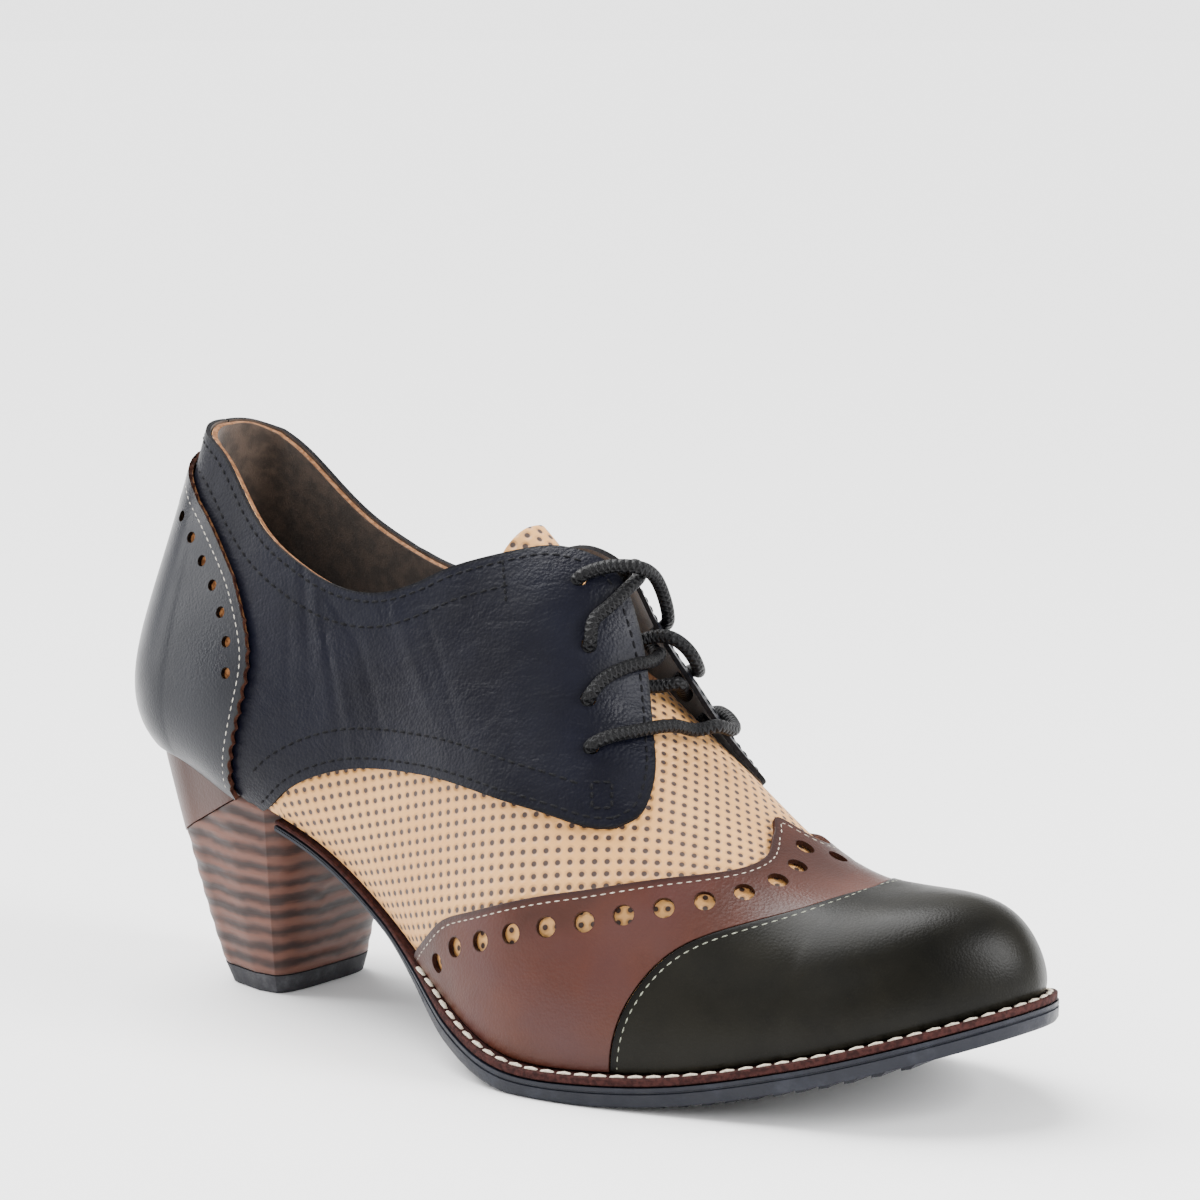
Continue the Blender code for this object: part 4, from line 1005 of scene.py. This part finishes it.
def hole_places(edges, row, face, from_end=False):
    """Where the holes of a row go on both sides, and which way they point."""
    points, normals = [], []
    for side in SIDES:
        line = side_line(edges[side], side, row.inset, row.start, row.end[side])
        at, up = every(row.pitch, *on_form(line[::-1] if from_end else line, side, face - OVERLAY_LEATHER / 2))
        points += list(at)
        normals += list(up)
    return points, normals


def build_wing_tip():
    edges = {side: line_across(marks) for side, marks in WING_EDGE.items()}
    seam = line_across(CAP_SEAM)
    wing = band(
        "wing_tip_leather", lambda v, side: edges[side](v), lambda v, side: seam(v) - GAP / LAST_LENGTH, 46,
        OVERLAY_FACE, OVERLAY_LEATHER, [WING_LOOK, TAN_EDGE, BROWN_EDGE], "wing_tip",
    )
    points, normals = hole_places(WING_EDGE, WING_HOLES, OVERLAY_FACE, from_end=True)
    punch(wing, points, normals, WING_HOLES.radius, "wing_punch")
    for side, label in LABELS.items():
        at, up = on_form(side_line(WING_EDGE[side], side, -1.8 * MM, end=0.998), side, OVERLAY_FACE)
        stitches(f"wing_stitches_{label}_1", at, up, GREY_THREAD, 2.2 * MM, radius=0.19 * MM)


def build_toe_cap():
    seam = line_across(CAP_SEAM)
    band(
        "toe_cap_leather", lambda v, side: seam(v), lambda v, side: np.ones_like(v), 90, CAP_FACE, CAP_LEATHER,
        [CAP_LOOK, DARK_EDGE, DARK_EDGE], "toe_cap",
    )
    for side, label in LABELS.items():
        at, up = on_form(side_line(CAP_SEAM, side, -1.6 * MM, end=0.985), side, CAP_FACE)
        stitches(f"cap_stitches_{label}", at, up, GREEN_THREAD, 2.3 * MM)


Crease = namedtuple("Crease", "u v length width turn depth")
# Soft pulls in a quarter: where, how long and wide in millimetres, degrees from the foot's run, and how high
CREASE_STRENGTH = 0.5
QUARTER_HEIGHT = 95 * MM
CREASES = [
    Crease(0.335, 0.300, 26, 2.6, -62, -0.50), Crease(0.350, 0.285, 24, 2.4, -55, 0.40),
    Crease(0.362, 0.250, 22, 2.6, -48, -0.45), Crease(0.378, 0.225, 20, 2.8, -40, 0.35),
    Crease(0.325, 0.215, 18, 2.2, -70, -0.35), Crease(0.395, 0.300, 30, 4.0, -30, -0.35),
    Crease(0.430, 0.420, 34, 5.0, -20, 0.45), Crease(0.455, 0.470, 34, 4.0, -24, -0.40),
    Crease(0.310, 0.330, 16, 2.2, 20, -0.35), Crease(0.420, 0.560, 26, 4.0, 12, -0.40),
    Crease(0.365, 0.340, 18, 2.0, -10, -0.35),
]


def quarter_creases(u, v, _):
    """Troughs and ridges of a worn side, in the shoe's own sizes, the same on both sides."""
    along, up = RUN_ALONG(u), v * QUARTER_HEIGHT
    relief = np.zeros(u.shape)
    for crease in CREASES:
        angle = math.radians(crease.turn)
        dx, dy = along - RUN_ALONG(crease.u), up - crease.v * QUARTER_HEIGHT
        run = (dx * math.cos(angle) + dy * math.sin(angle)) / (crease.length * MM / 2)
        across = (-dx * math.sin(angle) + dy * math.cos(angle)) / (crease.width * MM / 2)
        relief += crease.depth * MM * CREASE_STRENGTH * np.exp(-(run**2) * 1.4) * np.exp(-(across**2) * 1.2)
    return relief


def build_quarter(side):
    label = LABELS[side]
    node = "quarter_lateral" if side == LATERAL else "quarter_medial"
    run = np.linspace(0, 1, 190)
    foot, collar = along_marks(QUARTER_FOOT, run), along_marks(COLLAR_EDGE[side], run)
    facing = along_marks(FACING_EDGE[side], climb(90, 1.15))
    back = climb(90, 1.4)[:, None] * (0, COLLAR_BACK[0].v)
    places = np.clip(patch(foot, collar, back, facing), 0, 1)
    u, v = np.maximum(places[..., 0], BACK_SEAM * 0.4), places[..., 1]
    face = OVERLAY_FACE + facing_spring(u, v, side)
    looks = [QUARTER_LOOK, LINING_LOOK, DARK_EDGE]
    sheets = [(u, v, face, side)]
    quarter = shell(f"quarter_{label}", sheets, OVERLAY_LEATHER, looks, [node], "bcd", 0, quarter_creases)
    settle(quarter)
    at = [on_quarter(e.u, e.v, side) for e in EYELETS]
    up = [on_quarter(e.u, e.v, side, MM) - p for e, p in zip(EYELETS, at)]
    punch(quarter, at, up, EYELET_HOLE, f"eyelet_punch_{label}")
    quarter_stitches(side, label)


def quarter_line(marks, side, inset, start=0.0, end=1.0):
    """A line on the creased face of a quarter, and its outward directions."""
    line = side_line(marks, side, inset, start, end)
    u, v = line[:, 0], line[:, 1]
    up = last_normal(u, v, side)
    return on_quarter(u, v, side) + up * quarter_creases(u, v, side)[:, None], up


def quarter_stitches(side, label):
    def row(name, line, *size):
        spacing, radius, sink = (s * MM for s in size)
        stitches(f"quarter_{name}_stitches_{label}", *line, BLACK_THREAD, spacing, radius=radius, sink=sink)

    for name, marks, inset, start, end in (
        ("foot", QUARTER_FOOT, 2.2, 0.44, 1.0), ("second", QUARTER_FOOT, 9.5, 0.46, 0.93),
        ("facing", FACING_EDGE[side], 2.2, 0.0, 0.985),
        ("collar", COLLAR_EDGE[side], -2.2, 0.01, 0.99), ("collar_low", COLLAR_EDGE[side], -8.0, 0.03, 0.90),
    ):
        row(name, quarter_line(marks, side, inset * MM, start, end), 2.7, 0.34, -0.05)
    bars = {"bar": [Mark(0.472, 0.805), Mark(0.488, 0.733)]}
    box = (Mark(0.582, 0.610), Mark(0.592, 0.652), Mark(0.599, 0.595), Mark(0.589, 0.555))
    bars.update({f"box_{k}": [box[k], box[(k + 1) % 4]] for k in range(4)})
    for name, ends in bars.items():
        row(name, quarter_line(ends, side, 0.0), 1.9, 0.36, -0.08)


# The scallops of the counter's edge
GIMP_PITCH, GIMP_DEPTH = 3.9 * MM, 0.9 * MM


def gimped(edge):
    """An edge cut in small scallops, which fade out at its ends."""
    run = lengths(on_form(edge, LATERAL, COUNTER_FACE)[0])
    fade = np.clip(np.minimum(run, run[-1] - run) / (4 * MM), 0, 1)
    return shifted(edge, LATERAL, -GIMP_DEPTH * fade * np.abs(np.sin(math.pi * run / GIMP_PITCH)))


def build_counter():
    run, rise = np.linspace(0, 1, 118), climb(172, 1.15)
    foot = run[:, None] * (COUNTER_FRONT[0].u, 0)
    top, front = along_marks(COUNTER_TOP, run), along_marks(COUNTER_FRONT, rise)
    places = patch(foot, top, rise[:, None] * (0, COUNTER_TOP[0].v), front)
    places[:, -1] = gimped(places[:, -1])
    places[-1] = gimped(places[-1][::-1])[::-1]
    sheets = [(places[..., 0], places[..., 1], COUNTER_FACE, side) for side in SIDES]
    looks = [COUNTER_LOOK, TAN_EDGE, BROWN_EDGE]
    counter = shell("counter_leather", sheets, OVERLAY_LEATHER, looks, ["counter"], "bd")
    edge = COUNTER_FRONT + COUNTER_TOP[-2::-1]
    points, normals = hole_places({side: edge for side in SIDES}, COUNTER_HOLES, COUNTER_FACE)
    for side, label in LABELS.items():
        at, up = on_form(side_line(edge, side, 2.6 * MM, end=0.97), side, COUNTER_FACE)
        stitches(f"counter_stitches_{label}", at, up, PALE_THREAD, 2.1 * MM)
        # A rust-brown strip under the row of holes
        strip = side_line(edge, side, COUNTER_HOLES.inset, 0.12, 0.96, 60)
        grid = np.stack([shifted(strip, side, w * MM) for w in (-2.0, -1.0, 0, 1.0, 2.0)], 1)
        sheet = (grid[..., 0], grid[..., 1], COUNTER_FACE - OVERLAY_LEATHER - 0.1 * MM, side)
        shell(f"counter_backing_{label}", [sheet], 0.25 * MM, [RUST_EDGE] * 3, roll=0)
    punch(counter, points, normals, COUNTER_HOLES.radius, "counter_punch")


def build_tongue():
    rise = spline([r[0] for r in TONGUE_RISE], [r[1] * MM for r in TONGUE_RISE])
    across = np.linspace(TONGUE_SIDE, 1, 40)
    share = np.linspace(0, 1, 80)[:, None]
    edge = (1 - across) / (1 - TONGUE_SIDE)
    tip = TONGUE_TIP + TONGUE_CORNER * edge**3
    u = tip + (TONGUE_ROOT - tip) * share
    v = np.broadcast_to(across, u.shape)
    lift = np.where(u < TONGUE_RISE[-1][0], rise(u), 0)
    bend = np.maximum(TONGUE_BEND, throat_edge()(u) + 0.10)
    crown = np.clip((v - bend) / (0.98 - bend), 0, 1)
    stand_off = TONGUE_FACE + np.maximum(lift, 0) * crown * crown * (3 - 2 * crown)
    sheets = [(u, v, stand_off, side) for side in SIDES]
    tongue = shell("tongue_leather", sheets, TONGUE_LEATHER, [CREAM_LOOK, LINING_LOOK, TAN_EDGE], ["tongue"], "ab")
    lay_flat(tongue, 0.0, LAST_LENGTH, 0.50, 0.56)


def ring_places():
    """Places along the feather line from the sole's start at the waist to the toe."""
    return np.concatenate([np.linspace(SOLE_START, TOE_START, 90)[:-1], np.linspace(TOE_START, 1, 50)])


def lofted(name, rings, look, nodes=()):
    """A closed loft through rings of points that begin and end at the same corner, capped in strips."""
    mesh = bmesh.new()
    loops = [[mesh.verts.new(Vector(p) - MIDDLE) for p in ring] for ring in rings]
    count = len(loops[0])
    for low, high in zip(loops, loops[1:]):
        for k in range(count):
            mesh.faces.new((low[k], low[(k + 1) % count], high[(k + 1) % count], high[k]))
    for loop in (loops[0], loops[-1]):
        for k in range(count // 2):
            strip = list(dict.fromkeys((loop[k], loop[k + 1], loop[count - 1 - k], loop[-k])))
            if len(strip) > 2:
                mesh.faces.new(strip)
    bmesh.ops.remove_doubles(mesh, verts=mesh.verts, dist=WELD)
    bmesh.ops.recalc_face_normals(mesh, faces=mesh.faces)
    return finish_object(name, made(mesh, name), [look], nodes)


def sole_ring(outset, height):
    """Round the sole from its outer waist corner by the toe to its inner waist corner."""
    places = ring_places()
    out = np.broadcast_to(outset, places.shape)
    outer, inner = plan(places, LATERAL, out), plan(places, MEDIAL, out)
    ring = np.concatenate([outer, inner[::-1][1:]])
    return [(x, y, float(height(x))) for x, y in ring]


def build_outsole():
    """The sole with a groove round its edge, given as shares of its thickness and millimetres outwards."""
    wide = ledge(ring_places()) + SOLE_OVER_WELT
    sections = [
        (0.0, -0.5), (0.0, 0.0), (0.20, 0.05), (0.24, -0.35), (0.30, -0.35), (0.34, 0.05), (0.85, 0.0), (1.0, -0.45),
    ]

    def level(share):
        return lambda x: float(outsole_top(x)) * (1 - share) + outsole_bottom(x) * share

    rings = [sole_ring(-6 * MM, level(0.0))]
    rings += [sole_ring(wide + out * MM, level(share)) for share, out in sections]
    rings += [sole_ring(-6 * MM, level(1.0))]
    lofted("outsole_rubber", rings, SOLE_LOOK, ["outsole"])


TREAD_PITCH, TREAD_DEPTH = 5.2 * MM, 1.1 * MM


def middle_place(x):
    """The place along the feather line that lies at x, between the heel's and the toe's curves."""
    return HEEL_END + (x - HEEL_TURN) / (TOE_TURN - HEEL_TURN) * (TOE_START - HEEL_END)


def build_tread():
    """Shallow saw-toothed ribs across the forepart's floor side, ahead of its flat."""
    mesh = bmesh.new()
    for x in np.arange(176 * MM, 240 * MM, TREAD_PITCH):
        if x < TOE_TURN:
            ends = [plan(np.array([middle_place(x)]), side, -1.2 * MM)[0][1] for side in SIDES]
        else:
            share = ((x - TOE_TURN) / (LAST_LENGTH - TOE_TURN)) ** (TOE_ROUND / 2)
            reach = 0.97 * math.sin(math.acos(min(share, 1))) ** (2 / TOE_ROUND)
            ends = [side * float(HALF_WIDTH[side](TOE_TURN)) * reach + float(SWING(x)) for side in SIDES]
        depth = min(TREAD_DEPTH, max(outsole_bottom(x) - 0.1 * MM, 0.0))
        profile = ((0.0, 0.4 * MM), (0.15 * MM, -depth), (2.6 * MM, -depth), (4.6 * MM, 0.4 * MM))
        rows = [
            [mesh.verts.new(Vector((x + dx, y, outsole_bottom(x + dx) + dz)) - MIDDLE) for dx, dz in profile]
            for y in ends
        ]
        for k in range(4):
            mesh.faces.new((rows[0][k], rows[0][(k + 1) % 4], rows[1][(k + 1) % 4], rows[1][k]))
        for row in rows:
            mesh.faces.new(row)
    bmesh.ops.recalc_face_normals(mesh, faces=mesh.faces)
    finish_object("forepart_tread", made(mesh, "tread"), [SOLE_LOOK])


def build_welt():
    """The welt with its corners eased, and the thick thread along its top."""
    places = ring_places()
    wide = ledge(places)
    rings = [
        sole_ring(-WELT_TUCK, welt_bottom),
        sole_ring(wide - 0.25 * MM, welt_bottom),
        sole_ring(wide, lambda x: float(welt_bottom(x)) + 0.25 * MM),
        sole_ring(wide, lambda x: float(welt_top(x)) - 0.35 * MM),
        sole_ring(wide - 0.35 * MM, welt_top),
        sole_ring(-WELT_TUCK, welt_top),
    ]
    lofted("welt_leather", rings, WELT_LOOK, ["welt"])
    line = places[places > 0.455]
    for side, label in LABELS.items():
        at = plan(line, side, np.maximum(ledge(line) - 1.55 * MM, 0.9 * MM))
        points = np.array([(x, y, float(welt_top(x)) + 0.05 * MM) for x, y in at])
        stitches(
            f"welt_stitches_{label}", points, np.tile((0.0, 0.0, 1.0), (len(points), 1)), WELT_THREAD, 4.4 * MM,
            share=0.93, radius=0.72 * MM, sink=-0.05 * MM, flat=0.6, tilt=0.05,
        )


def build_insole():
    places = np.concatenate([
        np.linspace(0, HEEL_END, 26)[:-1], np.linspace(HEEL_END, TOE_START, 90)[:-1], np.linspace(TOE_START, 1, 30),
    ])
    inset = np.full(places.shape, -(LINED_LEATHER - VAMP_FACE + 2.2 * GAP))
    outer, inner = plan(places, LATERAL, inset), plan(places, MEDIAL, inset)
    ring = np.concatenate([outer, inner[::-1][1:-1]])
    rings = []
    for lift, shrink in ((0, 0), (INSOLE_THICKNESS * 0.7, 0), (INSOLE_THICKNESS, 0.6 * MM)):
        rings.append([(x, y * (1 - shrink / (20 * MM)), float(feather_height(x)) + lift) for x, y in ring])
    lofted("sock_lining", rings, SOCK_LOOK, ["insole"])


def heel_rings(levels, outset):
    """Rings of the heel, each a share of the height up to the seat and so far further out."""
    seat = heel_outline(outset)
    rings = []
    for share, out in levels:
        grown = share**HEEL_BEND
        length = HEEL_FOOT_LENGTH + (1 - HEEL_FOOT_LENGTH) * grown
        width = HEEL_FOOT_WIDTH + (1 - HEEL_FOOT_WIDTH) * grown
        middle, centre = HEEL_FOOT_MIDDLE.lerp(HEEL_SEAT_MIDDLE, grown), HEEL_SEAT_MIDDLE
        ring = []
        for x, y in seat:
            away = Vector((x - centre.x, y - centre.y))
            away *= 1 + out / max(away.length, 1e-6)
            roof = float(feather_height(x)) - FOOT_GAP
            ring.append((middle.x + away.x * length, middle.y + away.y * width, share * roof))
        rings.append(ring)
    return rings


def heel_outline(outset):
    """The heel's outline at the seat, round the back and square with eased corners at the front."""
    back_u = np.linspace(0, HEEL_END, 28)
    mid_u = np.linspace(HEEL_END, HEEL_END + 0.047, 6)[1:]
    corner = HEEL_FRONT - HEEL_CORNER_START
    ring = []
    for side in SIDES:
        half = [tuple(p) for p in plan(np.concatenate([back_u, mid_u]), side, outset)]
        for angle in np.radians((30, 40, 50, 58, 66, 72, 77, 82, 85, 87, 88.5, 90)):
            x = HEEL_CORNER_START + corner * math.sin(angle) ** (2 / HEEL_CORNER_POWER)
            wide = plan(np.array(middle_place(x)), side, outset)
            middle = float(SWING(x))
            half.append((x, middle + (wide[1] - middle) * math.cos(angle) ** (2 / HEEL_CORNER_POWER)))
        ring += half[::-1] if side == LATERAL else half[1:-1]
    return ring


def cut_off(name, rings, planes, look, node, roll):
    """A loft cut off at planes, with its edges rolled."""
    piece = lofted(name, rings, look)
    mesh = bmesh.new()
    mesh.from_mesh(piece.data)
    for point, normal in planes:
        everything = mesh.verts[:] + mesh.edges[:] + mesh.faces[:]
        cut = bmesh.ops.bisect_plane(
            mesh, geom=everything, dist=1e-7, plane_co=Vector(point) - MIDDLE, plane_no=normal, clear_outer=True
        )
        edges = [e for e in cut["geom_cut"] if isinstance(e, bmesh.types.BMEdge)]
        bmesh.ops.holes_fill(mesh, edges=edges, sides=0)
    bmesh.ops.recalc_face_normals(mesh, faces=mesh.faces)
    mesh.to_mesh(piece.data)
    mesh.free()
    piece.data.shade_smooth()
    piece.data.set_sharp_from_angle(angle=math.radians(35))
    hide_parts(node)
    round_edges(piece, roll, 55)


# The layers of the heel, which stand a little in and out
LAYER, LAYER_RELIEF = 4.7 * MM, 0.16 * MM
STACK_HEIGHT = 55 * MM


def build_heel():
    slope, up = Vector((-WRAP_SLOPE, 0, 1)).normalized(), Vector((0, 0, 1))
    turns = 2 * math.pi * STACK_HEIGHT / LAYER
    steps = [(share, LAYER_RELIEF * math.sin(turns * share)) for share in np.linspace(0, 1, 61)]
    planes = [((0, 0, WRAP_BACK_HEIGHT - 0.5 * GAP), slope), ((0, 0, TOP_LIFT_THICKNESS + GAP), -up)]
    cut_off("heel_layers", heel_rings(steps, 0.0), planes, STACK_LOOK, "heel_stack", 0.2 * MM)
    smooth = [(share, 0.0) for share in np.linspace(0, 1, 31)]
    planes = [((0, 0, WRAP_BACK_HEIGHT + 0.5 * GAP), -slope)]
    cut_off("heel_cover", heel_rings(smooth, WRAP_PROUD), planes, WRAP_LOOK, "heel_wrap", 0.4 * MM)
    low = [(share, 0.3 * MM) for share in (0, 0.1, 0.2)]
    planes = [((0, 0, TOP_LIFT_THICKNESS), up)]
    cut_off("heel_top_lift", heel_rings(low, 0.0), planes, LIFT_LOOK, "top_lift", 0.35 * MM)


LACE_LOOK = lace_braid()
LACE_RADIUS = 1.62 * MM


def lace(name, node, bends):
    """A run of lace through its bends: a place on a quarter, its side, and millimetres above its face."""
    points = np.array([
        on_quarter(np.array([u]), np.array([v]), side, height * MM)[0] for u, v, side, height in bends
    ])
    run = lengths(points)
    at = np.linspace(0, run[-1], 70)
    line = np.stack([spline(run, points[:, k])(at) for k in range(3)], 1) - np.array(MIDDLE)
    finish_object(name, tube_mesh(name, line, LACE_RADIUS, 14), [LACE_LOOK], [node], angle=70)


def build_laces():
    """The laces, each run begun and ended inside its eyelets."""
    one, two, three, four = EYELETS
    out, inn = LATERAL, MEDIAL
    lace("lace_top_over", "lace_top", [
        (*one, out, -3.5), (*one, out, 0.6), (0.513, 0.932, out, 2.6),
        (0.517, 0.958, out, 3.8), (0.523, 0.988, out, 4.9), (0.528, 0.965, inn, 5.4),
        (0.534, 0.935, inn, 4.9), (0.540, 0.910, inn, 3.6), (0.541, 0.875, inn, 2.2),
        (*two, inn, 0.6), (*two, inn, -3.5),
    ])
    lace("lace_top_under", "lace_top", [
        (*two, out, -3.5), (*two, out, 0.8), (0.532, 0.865, out, 2.0),
        (0.531, 0.905, out, 2.2), (0.529, 0.955, out, 2.1), (0.526, 1.0, out, 1.6),
        (0.520, 0.950, inn, 1.9), (0.513, 0.920, inn, 1.8), (*one, inn, 0.4),
        (*one, inn, -3.5),
    ])
    lace("lace_middle_outer", "lace_middle", [
        (*three, out, -3.5), (*three, out, 0.8), (0.556, 0.805, out, 2.0),
        (0.558, 0.868, out, 2.1), (0.561, 0.935, out, 2.0), (0.561, 0.985, out, 0.4),
        (0.559, 0.990, inn, -2.6), (0.555, 0.940, inn, -4.8), (0.549, 0.880, inn, -4.6),
        (*two, inn, -4.4),
    ])
    lace("lace_middle_inner", "lace_middle", [
        (0.542, 0.900, out, -4.8), (0.547, 0.975, out, -3.8), (0.552, 0.990, inn, -0.6),
        (0.558, 0.985, inn, 2.6), (0.566, 0.965, inn, 4.0), (0.572, 0.935, inn, 3.4),
        (0.572, 0.890, inn, 2.2), (0.565, 0.820, inn, 1.8), (*three, inn, 0.4),
        (*three, inn, -3.5),
    ])
    lace("lace_inside", "lace_middle", [
        (0.560, 0.880, out, -4.4), (0.567, 0.960, out, -3.4), (0.571, 1.0, out, -1.8),
        (0.575, 0.970, inn, -2.8), (0.575, 0.920, inn, -3.8), (0.572, 0.840, inn, -3.9),
    ])
    lace("lace_bottom_bar", "lace_bottom", [
        (*four, out, -3.5), (*four, out, 0.8), (0.577, 0.723, out, 2.1),
        (0.585, 0.800, out, 2.1), (0.591, 0.880, out, 2.1), (0.596, 0.950, out, 2.0),
        (0.600, 1.0, out, 1.7), (0.603, 0.960, inn, 1.9), (0.604, 0.910, inn, 2.2),
        (0.604, 0.870, inn, 2.2), (0.600, 0.820, inn, 2.0), (0.586, 0.750, inn, 1.6),
        (*four, inn, 0.6), (*four, inn, -3.5),
    ])


def build_stage():
    # Far out the floor rises a little, so that no horizon shows
    rise = 25
    bpy.ops.mesh.primitive_circle_add(vertices=96, radius=200, fill_type="NGON", location=(0, 0, rise))
    floor = bpy.context.object
    floor.name = "floor"
    bpy.ops.object.mode_set(mode="EDIT")
    bpy.ops.mesh.inset(thickness=180)
    bpy.ops.transform.translate(value=(0, 0, -rise - 0.2 * MM))
    bpy.ops.object.mode_set(mode="OBJECT")
    bpy.ops.object.transform_apply(location=True)
    paper = Finish("pale_floor", 0.9, Specular_IOR_Level=0.1)
    floor.data.materials.append(paper.done((0.90, 0.90, 0.90)))
    world = bpy.data.worlds.new("studio")
    bpy.context.scene.world = world
    world.use_nodes = True
    sky = world.node_tree.nodes["Background"].inputs
    sky["Color"].default_value, sky["Strength"].default_value = (0.95, 0.95, 0.95, 1), 1.05
    bpy.ops.object.light_add(type="SUN", rotation=(math.radians(-4), math.radians(-32), 0))
    ceiling = bpy.context.object
    ceiling.name = "ceiling"
    ceiling.data.energy, ceiling.data.angle = 8.4, math.radians(55)
    for name, place, aim, size, power in LIGHTS:
        bpy.ops.object.light_add(type="AREA", location=place)
        lamp = bpy.context.object
        lamp.name = name
        lamp.data.shape = "RECTANGLE"
        lamp.data.size, lamp.data.size_y = size
        lamp.data.energy = power
        lamp.rotation_euler = (Vector(aim) - Vector(place)).to_track_quat("-Z", "Y").to_euler()


Light = namedtuple("Light", "name place aim size power")
LIGHTS = [
    Light("left_strip", (-0.95, -0.55, 0.55), (-0.05, 0, 0.06), (0.25, 0.9), 6.0),
    Light("right_window", (0.95, 0.25, 0.60), (0.10, 0, 0.05), (0.4, 0.6), 18.0),
    Light("front_fill", (0.15, -1.30, 0.90), (0, 0, 0.05), (0.9, 0.6), 4.0),
]


def build_camera():
    """A long lens a little above the shoe, on its outer side and towards its toe."""
    turn, rise, away = math.radians(38.5), math.radians(11.9), 0.900
    back = Vector((math.sin(turn) * math.cos(rise), -math.cos(turn) * math.cos(rise), math.sin(rise)))
    target = Vector((125 * MM, 0, 60 * MM)) - MIDDLE
    bpy.ops.object.camera_add(location=target + back * away)
    camera = bpy.context.object
    camera.rotation_euler = (-back).to_track_quat("-Z", "Y").to_euler()
    camera.data.lens, camera.data.sensor_width = 112.44, 36
    camera.data.shift_x, camera.data.shift_y = 0.0406, 0.1533
    camera.data.clip_start, camera.data.clip_end = 0.05, 40
    bpy.context.scene.camera = camera


SOLE_LOOK = rubber("navy_black_sole", (0.005, 0.006, 0.011), (0.015, 0.017, 0.026), 0.42, 0.5)
LIFT_LOOK = rubber("grey_top_lift", (0.022, 0.022, 0.026), (0.060, 0.060, 0.066), 0.62, 0.7)
WELT_LOOK = cut_edge("dark_red_welt", (0.018, 0.0055, 0.005), (0.042, 0.0135, 0.0115))
STACK_LOOK, WRAP_LOOK = stacked_leather(), wrap_leather()

build_stage()
build_camera()
build_upper()
build_wing_tip()
build_toe_cap()
build_quarter(LATERAL)
build_quarter(MEDIAL)
build_counter()
build_tongue()
build_insole()
build_welt()
build_outsole()
build_tread()
build_heel()
build_laces()
